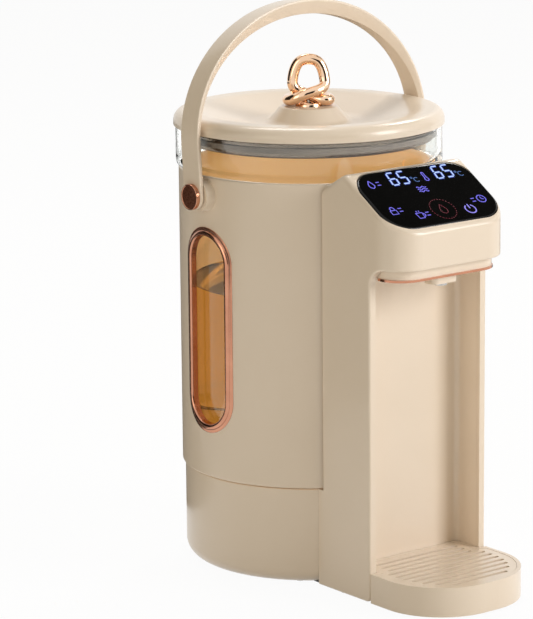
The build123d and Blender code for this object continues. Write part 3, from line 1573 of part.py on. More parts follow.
plunger_seal.part.label = "plunger_seal"
export_step(plunger_seal.part, "parts/plunger_seal.step")

# Closing spring: each half turn is two arcs that meet with a common tangent
spring_low = disc_top + TOUCH + SPRING_WIRE_R
spring_rise = cage_z - TOUCH - SPRING_WIRE_R - spring_low
half_turns = 2 * SPRING_TURNS
half_rise = spring_rise / half_turns
spring_lead = atan2(half_rise, pi * SPRING_R)


def spring_point(i):
    """End of a half turn, and the direction of the wire there."""
    turn = pi * i
    place = Vector(
        VALVE_X + SPRING_R * cos(turn), POT_Y + VALVE_Y + SPRING_R * sin(turn), spring_low + i * half_rise
    )
    heading = Vector(
        -sin(turn) * cos(spring_lead), cos(turn) * cos(spring_lead), sin(spring_lead)
    )
    return place, heading


with BuildPart() as valve_spring:
    with BuildLine() as coil:
        for i in range(half_turns):
            start, start_way = spring_point(i)
            end, end_way = spring_point(i + 1)
            gap = end - start
            square = 2 * (1 - start_way.dot(end_way))
            linear = 2 * gap.dot(start_way + end_way)
            reach = (sqrt(linear * linear + 4 * square * gap.dot(gap)) - linear) / (2 * square)
            joint = (start + start_way * reach + end - end_way * reach) * 0.5
            TangentArc(start, joint, tangent=start_way)
            TangentArc(joint, end, tangent=end - end_way * reach - joint)
    with BuildSketch(Plane(origin=coil.line @ 0, z_dir=coil.line % 0)):
        Circle(SPRING_WIRE_R)
    sweep(path=coil.line)

sample_count = SPRING_SAMPLES * half_turns
spring_points = [coil.line @ (i / sample_count) for i in range(sample_count + 1)]
spring_gap = min(
    (a - b).length for i, a in enumerate(spring_points) for b in spring_points[i + SPRING_SAMPLES:]
) - 2 * SPRING_WIRE_R
print("least gap of the spring's wire to itself", round(spring_gap, 2))

valve_spring.part.label = "valve_spring"
export_step(valve_spring.part, "parts/valve_spring.step")

# Carry handle: two straps that rise into a half ellipse, on pins in the shell's bosses
crown_z = pivot_z + LEG_STRAIGHT
arm_top = crown_z + ARM_RISE
half_strap = HANDLE_WIDTH / 2

with BuildPart() as strap:
    with BuildSketch(LATHE):
        with Locations((0, crown_z)):
            Ellipse(leg_out, CROWN_RISE)
        with Locations((0, crown_z - CROWN_RISE / 2)):
            Rectangle(2 * leg_out, CROWN_RISE, mode=Mode.SUBTRACT)
        with Locations((0, (pivot_z + crown_z) / 2)):
            Rectangle(2 * leg_out, LEG_STRAIGHT)
            Rectangle(2 * leg_in, LEG_STRAIGHT, mode=Mode.SUBTRACT)
        with Locations((0, crown_z)):
            Ellipse(leg_in, CROWN_RISE - CROWN_THICK, mode=Mode.SUBTRACT)
    extrude(amount=half_strap, both=True)
    for side in (-1, 1):
        with BuildSketch(SIDE.offset(side * leg_in)):
            with Locations((0, pivot_z)):
                Circle(half_strap)
        extrude(amount=side * LEG_THICK)
    strap_edges = strap.faces().filter_by(Axis.Y).edges()
    across = strap_edges.filter_by(Axis.X)
    fillet(strap_edges - across, HANDLE_EDGE)
    with BuildSketch(SIDE.offset(-leg_out)):
        with Locations((0, pivot_z)):
            Circle(PIN_R + PIN_RUN)
    extrude(amount=2 * leg_out, mode=Mode.SUBTRACT)

# At rest the handle leans a little back on its pins
pivot_axis = Axis((0, POT_Y, pivot_z), (1, 0, 0))
leaning = strap.part.rotate(pivot_axis, -HANDLE_LEAN)

# The bow of the handle, welded on its two arms
with BuildPart() as carry_handle:
    add(leaning)
    with BuildSketch(level(arm_top + TOUCH)):
        Rectangle(2 * leg_out + OVERCUT, CROWN_RISE)
    extrude(amount=CROWN_RISE, mode=Mode.INTERSECT)

carry_handle.part.label = "carry_handle"
export_step(carry_handle.part, "parts/carry_handle.step")

with BuildPart() as handle_arms:
    add(leaning)
    with BuildSketch(level(arm_top)):
        Rectangle(2 * leg_out + OVERCUT, CROWN_RISE)
    extrude(amount=-arm_top, mode=Mode.INTERSECT)

handle_arms.part.label = "handle_arms"
export_step(handle_arms.part, "parts/handle_arms.step")

pin_start = leg_in - PIN_BITE

with BuildPart() as handle_pins:
    for side in (-1, 1):
        with BuildSketch(SIDE.offset(side * pin_start)):
            with Locations((0, pivot_z)):
                Circle(PIN_R)
        extrude(amount=side * (leg_out + TOUCH - pin_start))
        with BuildSketch(SIDE.offset(side * (leg_out + TOUCH))):
            with Locations((0, pivot_z)):
                Circle(PIN_HEAD_R)
        extrude(amount=side * PIN_HEAD)
    rims = handle_pins.faces().filter_by(Axis.X).sort_by(Axis.X)
    fillet(rims[0].edges() + rims[-1].edges(), PIN_HEAD / 2)

handle_pins.part.label = "handle_pins"
export_step(handle_pins.part, "parts/handle_pins.step")

# Lid: dished shell with a boss in the middle
lid_top = lid_z + LID_RISE
dish_z = lid_top - DISH_DEPTH
boss_z = dish_z + BOSS_HEIGHT
boss_turn = atan2(BOSS_HEIGHT, BOSS_FOOT_R - BOSS_TOP_R)
boss_shift = LID_WALL * tan(boss_turn / 2)
lid_corners = [
    (lid_r, lid_z),
    (lid_r, lid_top),
    (dish_r, lid_top),
    (DISH_FLOOR_R, dish_z),
    (BOSS_FOOT_R, dish_z),
    (BOSS_TOP_R, boss_z),
    (0, boss_z),
    (0, boss_z - LID_WALL),
    (BOSS_TOP_R - boss_shift, boss_z - LID_WALL),
    (BOSS_FOOT_R - boss_shift, dish_z - LID_WALL),
    (DISH_FLOOR_R, dish_z - LID_WALL),
    (dish_r, lid_top - LID_WALL),
    (lid_r - LID_WALL, lid_top - LID_WALL),
    (lid_r - LID_WALL, lid_z),
]
lid_radii = [
    0, LID_ROUND, DISH_ROUND, DISH_ROUND, BOSS_ROUND, BOSS_EDGE, 0,
    0, 0, BOSS_ROUND - LID_WALL, DISH_ROUND, DISH_ROUND, LID_ROUND - LID_WALL, 0,
]

with BuildPart() as lid_shell:
    revolve(outline(LATHE, lid_corners, lid_radii), axis=POT_AXIS)
    with BuildSketch(level(boss_z)):
        Circle(KNOB_SCREW_R + TOUCH)
    extrude(amount=-LID_WALL, mode=Mode.SUBTRACT)

lid_shell.part.label = "lid_shell"
export_step(lid_shell.part, "parts/lid_shell.step")

# Steel pan under the lid, with the seal ring round it
liner_r = collar_in - LINER_GAP
liner_z = rim_z - LINER_DEPTH
liner_flange_z = rim_z + SEAT_GAP
liner_corners = [
    (0, liner_z),
    (liner_r, liner_z),
    (liner_r, liner_flange_z),
    (liner_r + LINER_FLANGE, liner_flange_z),
    (liner_r + LINER_FLANGE, liner_flange_z + LINER_SHEET),
    (liner_r - LINER_SHEET, liner_flange_z + LINER_SHEET),
    (liner_r - LINER_SHEET, liner_z + LINER_SHEET),
    (0, liner_z + LINER_SHEET),
]
liner_radii = [0, LINER_BEND, 0, 0, 0, 0, LINER_BEND - LINER_SHEET, 0]

with BuildPart() as lid_liner:
    revolve(outline(LATHE, liner_corners, liner_radii), axis=POT_AXIS)

lid_liner.part.label = "lid_liner"
export_step(lid_liner.part, "parts/lid_liner.step")

with BuildPart() as lid_seal:
    with BuildSketch(level(liner_z + SEAL_HEIGHT)):
        Circle(liner_r + SEAL_WIDTH)
        Circle(liner_r + TOUCH, mode=Mode.SUBTRACT)
    extrude(amount=SEAL_HEIGHT)

lid_seal.part.label = "lid_seal"
export_step(lid_seal.part, "parts/lid_seal.step")

# Knob: a standing loop tied round by two tilted rings
knob_z = boss_z + TOUCH
loop_z = boss_z + KNOB_HEIGHT - KNOB_WIRE_R - KNOB_LOOP_R
knot_z = knob_z + STRAND_R + STRAND_RING_R * sin(radians(STRAND_TILT))
knob_way = (sin(radians(KNOB_TURN)), -cos(radians(KNOB_TURN)), 0)
knob_across = (cos(radians(KNOB_TURN)), sin(radians(KNOB_TURN)), 0)
KNOB = Plane(origin=(0, POT_Y, 0), x_dir=knob_across, z_dir=knob_way)
KNOT = Plane(origin=(0, POT_Y, knot_z), x_dir=knob_across, z_dir=knob_way)
loop_foot = knob_z + STRAND_R

with BuildPart() as lid_knob:
    with BuildSketch(level(knob_z)):
        Circle(KNOB_FOOT_R)
    extrude(amount=KNOB_FOOT_HEIGHT)
    with BuildLine(KNOB) as loop:
        Line((-KNOB_LOOP_R, loop_foot), (-KNOB_LOOP_R, loop_z))
        ThreePointArc((-KNOB_LOOP_R, loop_z), (0, loop_z + KNOB_LOOP_R), (KNOB_LOOP_R, loop_z))
        Line((KNOB_LOOP_R, loop_z), (KNOB_LOOP_R, loop_foot))
    with BuildSketch(Plane(origin=loop.line @ 0, z_dir=loop.line % 0)):
        Circle(KNOB_WIRE_R)
    sweep(path=loop.line)
    for tilt in (-STRAND_TILT, STRAND_TILT):
        strand = KNOT.rotated((0, 0, tilt))
        with BuildSketch(strand):
            with Locations((STRAND_RING_R, 0)):
                Circle(STRAND_R)
        revolve(axis=Axis(strand.origin, strand.y_dir))
    with BuildSketch(level(knob_z)):
        Circle(KNOB_SCREW_R + TOUCH / 2)
    extrude(amount=KNOB_SCREW_BITE + SEAT_GAP, mode=Mode.SUBTRACT)

lid_knob.part.label = "lid_knob"
export_step(lid_knob.part, "parts/lid_knob.step")

knob_screw = screws(
    boss_z - LID_WALL, [(0, 0)], 1, SCREW_HEAD_R, SCREW_HEAD, KNOB_SCREW_R, LID_WALL + KNOB_SCREW_BITE
)
knob_screw.part.label = "knob_screw"
export_step(knob_screw.part, "parts/knob_screw.step")
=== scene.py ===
# %% [markdown]
# # Hot water dispenser
# A heated pot with a glass vessel stands on a drum. In front of it a column carries a
# black touch panel, a spout over a cup recess, and a drip tray.
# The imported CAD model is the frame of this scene: every node already sits where it
# belongs, so this lesson gives the nodes their finishes and adds or rebuilds only the
# pieces that need more detail than the CAD has.

# %% Load the frame
import math

import bmesh
import bpy
from mathutils import Matrix, Vector


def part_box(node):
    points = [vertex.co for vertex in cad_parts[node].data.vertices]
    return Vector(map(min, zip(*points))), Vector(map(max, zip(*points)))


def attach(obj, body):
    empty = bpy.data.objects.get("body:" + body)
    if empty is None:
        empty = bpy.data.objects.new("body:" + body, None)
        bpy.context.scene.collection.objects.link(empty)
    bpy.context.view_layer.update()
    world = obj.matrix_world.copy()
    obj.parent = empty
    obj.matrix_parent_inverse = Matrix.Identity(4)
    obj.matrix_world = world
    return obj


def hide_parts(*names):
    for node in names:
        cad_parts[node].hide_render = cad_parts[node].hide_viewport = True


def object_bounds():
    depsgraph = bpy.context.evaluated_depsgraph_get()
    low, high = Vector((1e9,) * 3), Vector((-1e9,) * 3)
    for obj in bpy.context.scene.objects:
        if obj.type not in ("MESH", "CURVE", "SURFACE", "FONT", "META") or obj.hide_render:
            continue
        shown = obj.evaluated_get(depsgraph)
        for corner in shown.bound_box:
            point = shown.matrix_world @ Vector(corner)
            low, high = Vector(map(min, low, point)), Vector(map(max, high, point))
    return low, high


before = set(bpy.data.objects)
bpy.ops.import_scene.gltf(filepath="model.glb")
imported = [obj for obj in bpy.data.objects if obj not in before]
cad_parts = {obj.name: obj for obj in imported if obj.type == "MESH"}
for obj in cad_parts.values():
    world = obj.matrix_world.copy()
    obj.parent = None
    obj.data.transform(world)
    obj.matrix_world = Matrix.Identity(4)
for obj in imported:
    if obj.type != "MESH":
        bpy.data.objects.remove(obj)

for spare in ("Cube", "Light", "Camera"):
    if spare in bpy.data.objects:
        bpy.data.objects.remove(bpy.data.objects[spare])
cad_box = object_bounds()
scene = bpy.context.scene
scene.view_settings.view_transform = "Standard"
print("CAD box in metres:", [round(v, 4) for corner in cad_box for v in corner])

# %% [markdown]
# ## Measuring from the pot
# The pot is round, so most places on this object are easiest to say in millimetres from
# the pot's axis and up from the counter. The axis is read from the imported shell, which
# keeps the scene in step with the CAD.

# %% Places in millimetres
MM = 0.001
shell_low, shell_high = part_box("pot_shell")
pot_y = (shell_low.y + shell_high.y) / 2


def place(x, y, z):
    """A place in millimetres from the pot's axis, in the model's metres."""
    return Vector((x * MM, pot_y + y * MM, z * MM))


print("pot axis at y =", round(pot_y, 5))
print("shell from z", round(shell_low.z, 4), "to", round(shell_high.z, 4))

# %% [markdown]
# ## Camera
# The photograph looks a little down on the dispenser from its front left, with a long
# lens. The camera is given its place and its three directions, worked out beforehand from
# known points of the object, so the render lies over the photograph.

# %% Camera at the photograph's place
EYE = place(-1531.4, -1910.9, 741.2)
HEADING = math.radians(-37.92)
PITCH = math.radians(12.6)
ROLL = math.radians(-0.53)
FOCAL_PIXELS = 3242.13
PHOTO_HEIGHT = 619
SENSOR_HEIGHT = 36

ahead = Vector((
    -math.sin(HEADING) * math.cos(PITCH), math.cos(HEADING) * math.cos(PITCH), -math.sin(PITCH)))
level_right = Vector((math.cos(HEADING), math.sin(HEADING), 0))
level_up = level_right.cross(ahead)
right = level_right * math.cos(ROLL) + level_up * math.sin(ROLL)
up = level_up * math.cos(ROLL) - level_right * math.sin(ROLL)
camera_data = bpy.data.cameras.new("camera")
camera_data.sensor_fit = "VERTICAL"
camera_data.sensor_height = SENSOR_HEIGHT
camera_data.lens = FOCAL_PIXELS * SENSOR_HEIGHT / PHOTO_HEIGHT
camera = bpy.data.objects.new("camera", camera_data)
turn = Matrix((right, up, -ahead)).transposed()
camera.matrix_world = Matrix.Translation(EYE) @ turn.to_4x4()
scene.collection.objects.link(camera)
scene.camera = camera
print("lens", round(camera_data.lens, 2), "mm, eye", [round(v, 3) for v in EYE])

# %% [markdown]
# ## Studio
# A white sweep and soft boxes, as for a catalogue picture. The floor and the world look
# white to the camera, to mirrors and to glass through Light Path, while the light that
# falls on the object stays at a plain level. The floor keeps part of its own shading,
# so the object's shadow still shows on it.


# %% Helpers for shader nodes
def wire(tree, source, target):
    tree.links.new(source, target)


def worked_out(tree, operation, *given):
    """The result of a Math node that takes sockets or plain numbers."""
    node = tree.nodes.new("ShaderNodeMath")
    node.operation = operation
    for socket, value in zip(node.inputs, given):
        if isinstance(value, bpy.types.NodeSocket):
            wire(tree, value, socket)
        else:
            socket.default_value = value
    return node.outputs[0]


def seen_directly(tree):
    """1 for rays from the camera, a mirror or through glass, 0 for light on a surface."""
    path = tree.nodes.new("ShaderNodeLightPath").outputs
    seen = worked_out(tree, "MAXIMUM", path["Is Camera Ray"], path["Is Glossy Ray"])
    return worked_out(tree, "MAXIMUM", seen, path["Is Transmission Ray"])


print("helpers made: wire, worked_out, seen_directly")

# %% White world
SKY_LIGHT = 0.33
SKY_TINT = (1.0, 0.925, 0.75, 1)
WHITE = (1, 1, 1, 1)
world = bpy.data.worlds.new("studio")
world.use_nodes = True
sky = world.node_tree
sky.nodes.clear()
lit_sky = sky.nodes.new("ShaderNodeBackground")
lit_sky.inputs["Strength"].default_value = SKY_LIGHT
seen_sky = sky.nodes.new("ShaderNodeBackground")
sky_mix = sky.nodes.new("ShaderNodeMixShader")
sky_out = sky.nodes.new("ShaderNodeOutputWorld")
for part, tint in ((lit_sky, SKY_TINT), (seen_sky, WHITE)):
    part.inputs["Color"].default_value = tint
wire(sky, seen_directly(sky), sky_mix.inputs[0])
wire(sky, lit_sky.outputs[0], sky_mix.inputs[1])
wire(sky, seen_sky.outputs[0], sky_mix.inputs[2])
wire(sky, sky_mix.outputs[0], sky_out.inputs["Surface"])
scene.world = world
print("world: white where seen, strength", SKY_LIGHT, "where it lights")


# %% Helpers for what stands in the studio
def sheet(name, width, height, look):
    """A flat rectangle about its own middle."""
    x, y = width / 2, height / 2
    mesh = bpy.data.meshes.new(name)
    mesh.from_pydata([(-x, -y, 0), (x, -y, 0), (x, y, 0), (-x, y, 0)], [], [(0, 1, 2, 3)])
    mesh.materials.append(look)
    flat_piece = bpy.data.objects.new(name, mesh)
    scene.collection.objects.link(flat_piece)
    return flat_piece


def aimed(position, aim, front):
    """The matrix that sets something at a place with its front axis towards a point."""
    way = (Vector(aim) - Vector(position)).to_track_quat(front, "Y")
    return Matrix.Translation(position) @ way.to_matrix().to_4x4()


print("helpers made: sheet, aimed")

# %% Pale floor
FLOOR_WIDE = 24.0
FLOOR_GREY = 0.9
FLOOR_GLOW = 0.95
floor_look = bpy.data.materials.new("studio_floor")
floor_look.use_nodes = True
paint = floor_look.node_tree
paint.nodes.clear()
matt = paint.nodes.new("ShaderNodeBsdfDiffuse")
matt.inputs["Color"].default_value = (FLOOR_GREY, FLOOR_GREY, FLOOR_GREY, 1)
glow = paint.nodes.new("ShaderNodeEmission")
glow_share = worked_out(paint, "MULTIPLY", seen_directly(paint), FLOOR_GLOW)
floor_mix = paint.nodes.new("ShaderNodeMixShader")
floor_out = paint.nodes.new("ShaderNodeOutputMaterial")
wire(paint, glow_share, floor_mix.inputs[0])
wire(paint, matt.outputs[0], floor_mix.inputs[1])
wire(paint, glow.outputs[0], floor_mix.inputs[2])
wire(paint, floor_mix.outputs[0], floor_out.inputs["Surface"])
floor = sheet("floor", FLOOR_WIDE, FLOOR_WIDE, floor_look)
print("floor", FLOOR_WIDE, "m wide")


# %% Soft boxes
def soft_box(name, position, width, height, watts, tint):
    """A rectangular lamp that faces the object's middle."""
    lamp = bpy.data.lights.new(name, "AREA")
    lamp.shape = "RECTANGLE"
    lamp.size = width
    lamp.size_y = height
    lamp.energy = watts
    lamp.color = tint
    holder = bpy.data.objects.new(name, lamp)
    holder.matrix_world = aimed(position, middle, "-Z")
    scene.collection.objects.link(holder)


middle = (cad_box[0] + cad_box[1]) / 2
soft_box("key_box", (1.3, -2.2, 1.2), width=1.0, height=1.3, watts=42, tint=(1.0, 0.99, 0.985))
soft_box("fill_box", (-2.3, -0.6, 0.9), width=0.9, height=1.3, watts=6.5, tint=(1.0, 0.90, 0.72))
soft_box("side_box", (1.7, 0.9, 1.9), width=0.35, height=0.35, watts=12, tint=(1.0, 0.98, 0.95))
soft_box("top_box", (0.4, 1.0, 2.4), width=0.9, height=0.9, watts=17, tint=(1.0, 0.99, 0.98))
print("four soft boxes aim at", [round(v, 3) for v in middle])

# %% [markdown]
# Polished metal shows its surroundings, and in an all-white room it would look flat. A
# photographer hangs dark cards just out of the picture. These do the same: only mirrors
# see them, so they cast no shadow and never show in a view. The one on the floor at the
# back also gives the glass collar a dark edge, which would be lost against the white.


# %% Dark cards for the reflections
def dark_card(name, position, aim, width, height):
    """A card that is seen only in reflections."""
    card = sheet(name, width, height, card_look)
    card.matrix_world = aimed(position, aim, "Z")
    card.visible_camera = False
    card.visible_diffuse = False
    card.visible_transmission = False
    card.visible_shadow = False
    return card


card_look = bpy.data.materials.new("card_black")
card_look.use_nodes = True
card_shader = card_look.node_tree.nodes["Principled BSDF"]
card_shader.inputs["Base Color"].default_value = (0.01, 0.009, 0.008, 1)
card_shader.inputs["Roughness"].default_value = 0.9
cards = [
    dark_card("card_above", (2.06, 0.45, 2.69), (0, -0.09, 0.3), width=2.0, height=2.0),
    dark_card("card_left", (-1.9, 2.1, 1.2), middle, width=3.4, height=3.2),
    dark_card("card_near", (-0.9, -3.0, 0.9), middle, width=2.0, height=2.4),
    dark_card("card_right", (2.7, -0.5, 0.5), middle, width=0.8, height=1.6),
    dark_card("floor_left", (-1.05, 1.2, 0.01), (-1.05, 1.2, 1.0), width=1.5, height=1.7),
    dark_card("floor_back", (0.55, 1.2, 0.01), (0.55, 1.2, 1.0), width=1.6, height=2.0),
]
print("dark cards:", [card.name for card in cards])

# %% [markdown]
# ## Finishes
# Moulded plastic is never one flat colour: it has faint clouding, a fine texture from the
# mould and small changes in gloss. One helper makes such a finish from noise on Object
# coordinates, which stay put on the piece from every side. What is the same all over a
# surface is set on the shader's own socket.


# %% Helper for a procedural finish
RELIEF_DEPTH = 0.0002
CLOUD_DETAIL = 4
GRAIN_DETAIL = 3
RAMP_ENDS = (0.3, 0.7)


def finish(name, dark, light, cloud=25.0, rough=(0.3, 0.4), grain=900.0, relief=0.02,
           stretch=(1, 1, 1), **sockets):
    """A Principled finish with clouded colour, uneven gloss and a fine relief."""
    look = bpy.data.materials.new(name)
    look.use_nodes = True
    tree = look.node_tree
    shader = tree.nodes["Principled BSDF"]
    where = tree.nodes.new("ShaderNodeTexCoord")
    scale = tree.nodes.new("ShaderNodeMapping")
    scale.inputs["Scale"].default_value = stretch
    wire(tree, where.outputs["Object"], scale.inputs["Vector"])
    clouds = tree.nodes.new("ShaderNodeTexNoise")
    clouds.inputs["Scale"].default_value = cloud
    clouds.inputs["Detail"].default_value = CLOUD_DETAIL
    wire(tree, scale.outputs[0], clouds.inputs["Vector"])
    colours = tree.nodes.new("ShaderNodeValToRGB")
    for stop, position, colour in zip(colours.color_ramp.elements, RAMP_ENDS, (dark, light)):
        stop.position = position
        stop.color = (*colour, 1)
    wire(tree, clouds.outputs["Fac"], colours.inputs["Fac"])
    wire(tree, colours.outputs["Color"], shader.inputs["Base Color"])
    fine = tree.nodes.new("ShaderNodeTexNoise")
    fine.inputs["Scale"].default_value = grain
    fine.inputs["Detail"].default_value = GRAIN_DETAIL
    wire(tree, scale.outputs[0], fine.inputs["Vector"])
    gloss = tree.nodes.new("ShaderNodeMapRange")
    gloss.inputs["To Min"].default_value = rough[0]
    gloss.inputs["To Max"].default_value = rough[1]
    wire(tree, fine.outputs["Fac"], gloss.inputs["Value"])
    wire(tree, gloss.outputs["Result"], shader.inputs["Roughness"])
    bump = tree.nodes.new("ShaderNodeBump")
    bump.inputs["Strength"].default_value = relief
    bump.inputs["Distance"].default_value = RELIEF_DEPTH
    wire(tree, fine.outputs["Fac"], bump.inputs["Height"])
    wire(tree, bump.outputs["Normal"], shader.inputs["Normal"])
    for socket, value in sockets.items():
        shader.inputs[socket.replace("_", " ")].default_value = value
    return look


print("helper made: finish, with a relief of at most", RELIEF_DEPTH, "m")

# %% Finishes of the outside
cream_plastic = finish(
    "cream_plastic", (0.815, 0.695, 0.565), (0.845, 0.725, 0.60), cloud=9, rough=(0.24, 0.36),
    relief=0.03, Coat_Weight=0.25, Coat_Roughness=0.12)
rose_gold = finish(
    "rose_gold", (0.86, 0.58, 0.38), (0.93, 0.66, 0.46), cloud=60, rough=(0.06, 0.13),
    grain=1500, relief=0.008, Metallic=1.0)
deep_copper = finish(
    "deep_copper", (0.55, 0.25, 0.155), (0.66, 0.32, 0.20), cloud=60, rough=(0.10, 0.20),
    grain=1500, relief=0.01, Metallic=1.0)
dark_copper = finish(
    "dark_copper", (0.16, 0.053, 0.027), (0.21, 0.073, 0.038), cloud=90, rough=(0.22, 0.34),
    relief=0.03, Metallic=0.6)
black_glass = finish(
    "black_glass", (0.003, 0.003, 0.003), (0.005, 0.005, 0.005), cloud=14, rough=(0.03, 0.07),
    grain=300, relief=0.004, Specular_IOR_Level=0.22)
clear_glass = finish(
    "clear_glass", (0.95, 0.97, 0.94), (0.985, 0.99, 0.975), cloud=12, rough=(0.0, 0.02),
    grain=120, relief=0.004, Transmission_Weight=1.0, IOR=1.03, Coat_Weight=0.9,
    Coat_Roughness=0.01)
outside = (cream_plastic, rose_gold, deep_copper, dark_copper, black_glass, clear_glass)
print("outside finishes:", [look.name for look in outside])

# %% Finishes of the inside
brushed_steel = finish(
    "brushed_steel", (0.50, 0.49, 0.47), (0.62, 0.61, 0.59), cloud=40, rough=(0.18, 0.34),
    grain=500, relief=0.04, stretch=(1, 1, 14), Metallic=1.0)
smoked_steel = finish(
    "smoked_steel", (0.17, 0.135, 0.105), (0.27, 0.22, 0.175), cloud=30, rough=(0.10, 0.22),
    grain=400, relief=0.03, stretch=(1, 1, 20), Metallic=1.0)
smoked_silicone = finish(
    "smoked_silicone", (0.10, 0.078, 0.06), (0.15, 0.12, 0.095), cloud=35, rough=(0.35, 0.5),
    relief=0.05)
dark_plastic = finish(
    "dark_plastic", (0.018, 0.018, 0.019), (0.032, 0.031, 0.030), cloud=30, rough=(0.42, 0.60),
    relief=0.10)
white_plastic = finish(
    "white_plastic", (0.68, 0.67, 0.63), (0.76, 0.75, 0.71), cloud=20, rough=(0.34, 0.48),
    relief=0.05)
green_board = finish(
    "green_board", (0.012, 0.085, 0.035), (0.025, 0.15, 0.06), cloud=420, rough=(0.26, 0.40),
    grain=1200, relief=0.05)
milky_silicone = finish(
    "milky_silicone", (0.62, 0.60, 0.56), (0.72, 0.70, 0.66), cloud=35, rough=(0.45, 0.60),
    relief=0.06, Subsurface_Weight=0.1)
black_rubber = finish(
    "black_rubber", (0.014, 0.014, 0.014), (0.030, 0.029, 0.028), cloud=50, rough=(0.62, 0.82),
    relief=0.15)
lead_cover = finish(
    "lead_cover", (0.045, 0.05, 0.075), (0.36, 0.10, 0.05), cloud=70, rough=(0.36, 0.50),
    relief=0.04)
print("inside finishes made")

# %% Dress the CAD nodes
slot_finish = {
    "cream": cream_plastic, "copper": deep_copper, "rivet": dark_copper,
    "panel_glass": black_glass, "glass": clear_glass, "steel": brushed_steel,
    "dark_plastic": dark_plastic, "white_plastic": white_plastic, "board": green_board,
    "silicone": milky_silicone, "wire": lead_cover,
}
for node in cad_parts.values():
    for index, old in enumerate(node.data.materials):
        node.data.materials[index] = slot_finish[old.name.split(".")[0]]
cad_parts["feet"].data.materials[0] = black_rubber
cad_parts["lid_liner"].data.materials[0] = smoked_steel
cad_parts["lid_seal"].data.materials[0] = smoked_silicone
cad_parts["glass_vessel"].visible_shadow = False
print("dressed", len(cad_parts), "nodes")

# %% [markdown]
# ## The painted glow inside the pot
# Through the window and the glass collar the inside of the pot looks amber. This is painted
# light: the shell is one CAD node, so its finish finds the lining by distance from the pot's
# axis, and what lies nearer than the lining's radius takes a painted amber colour and a
# painted glow, a little less towards the top and more towards the right. The glass casts no
# shadow, so the lamps reach the inside.

# %% Find the lining
LINING_R = 0.0985
shell_plastic = cream_plastic.copy()
shell_plastic.name = "shell_plastic"
inside = shell_plastic.node_tree
spot = inside.nodes.new("ShaderNodeTexCoord")
centred = inside.nodes.new("ShaderNodeMapping")
centred.inputs["Location"].default_value = (0, -pot_y, 0)
axes = inside.nodes.new("ShaderNodeSeparateXYZ")
flat = inside.nodes.new("ShaderNodeCombineXYZ")
radius = inside.nodes.new("ShaderNodeVectorMath")
radius.operation = "LENGTH"
wire(inside, spot.outputs["Object"], centred.inputs["Vector"])
wire(inside, centred.outputs[0], axes.inputs[0])
wire(inside, axes.outputs["X"], flat.inputs["X"])
wire(inside, axes.outputs["Y"], flat.inputs["Y"])
wire(inside, flat.outputs[0], radius.inputs[0])
nearer = worked_out(inside, "LESS_THAN", radius.outputs["Value"], LINING_R)
print("lining lies inside radius", LINING_R, "m")


# %% Colour and painted glow of the lining
def carried_over(tree, source, **limits):
    """The result of a Map Range node with its four limits set."""
    node = tree.nodes.new("ShaderNodeMapRange")
    for socket, value in limits.items():
        node.inputs[socket.replace("_", " ")].default_value = value
    wire(tree, source, node.inputs["Value"])
    return node.outputs["Result"]


# Painted light: the lining takes an amber colour and an amber glow, which stand in for the lit
# inside of the pot.
PAINTED_AMBER = (0.80, 0.50, 0.22, 1)
PAINTED_GLOW_COLOUR = (0.85, 0.46, 0.17, 1)
# The painted glow is weaker towards the top and stronger towards the right.
painted_glow_by_height = carried_over(
    inside, axes.outputs["Z"], From_Min=0.10, From_Max=0.31, To_Min=0.29, To_Max=0.26)
painted_glow_by_side = carried_over(
    inside, axes.outputs["X"], From_Min=-0.1, From_Max=0.1, To_Min=0.6, To_Max=2.2)
painted_glow_spread = worked_out(inside, "MULTIPLY", painted_glow_by_height, painted_glow_by_side)
# Strength of the painted glow, inside the lining only.
lining = worked_out(inside, "MULTIPLY", nearer, painted_glow_spread)
shell_shader = inside.nodes["Principled BSDF"]
shell_shader.inputs["Emission Color"].default_value = PAINTED_GLOW_COLOUR
wire(inside, lining, shell_shader.inputs["Emission Strength"])
# A Mix node has sockets for every kind of data: for colours these are 6, 7 and output 2.
# The painted amber colour is mixed in inside the lining.
painted_amber_mix = inside.nodes.new("ShaderNodeMix")
painted_amber_mix.data_type = "RGBA"
painted_amber_mix.inputs[7].default_value = PAINTED_AMBER
wire(inside, nearer, painted_amber_mix.inputs[0])
wire(inside, shell_shader.inputs["Base Color"].links[0].from_socket, painted_amber_mix.inputs[6])
wire(inside, painted_amber_mix.outputs[2], shell_shader.inputs["Base Color"])
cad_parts["pot_shell"].data.materials[0] = shell_plastic
print("lining dressed on", shell_plastic.name)

# %% [markdown]
# ## Turned pieces
# Rivets, the knob's foot and the water in the pot are round, so each is a small outline
# turned about an axis. The outline's corners are rounded first: on a real part no edge is
# perfectly sharp, and the rounding is what catches the light.


# %% Helpers for outlines and turning
def soften(corners, steps=6):
    """Points of an outline from corners given as (across, along, rounding)."""
    points = []
    for index, (across, along, rounding) in enumerate(corners):
        here = Vector((across, along))
        if rounding == 0:
            points.append(here)
            continue
        before = (Vector(corners[index - 1][:2]) - here).normalized()
        after = (Vector(corners[(index + 1) % len(corners)][:2]) - here).normalized()
        half = before.angle(after) / 2
        centre = here + (before + after).normalized() * rounding / math.sin(half)
        first = here + before * rounding / math.tan(half) - centre
        last = here + after * rounding / math.tan(half) - centre
        sweep = first.angle(last)
        for step in range(steps + 1):
            share = step / steps
            spoke = first * math.sin((1 - share) * sweep) + last * math.sin(share * sweep)
            points.append(centre + spoke / math.sin(sweep))
    return points


def turned(outline, steps, spot):
    """The rings that an outline of (across, along) points makes round an axis."""
    angles = [2 * math.pi * k / steps for k in range(steps)]
    return [
        [spot(across * math.cos(a), across * math.sin(a), along) for a in angles]
        for across, along in outline]


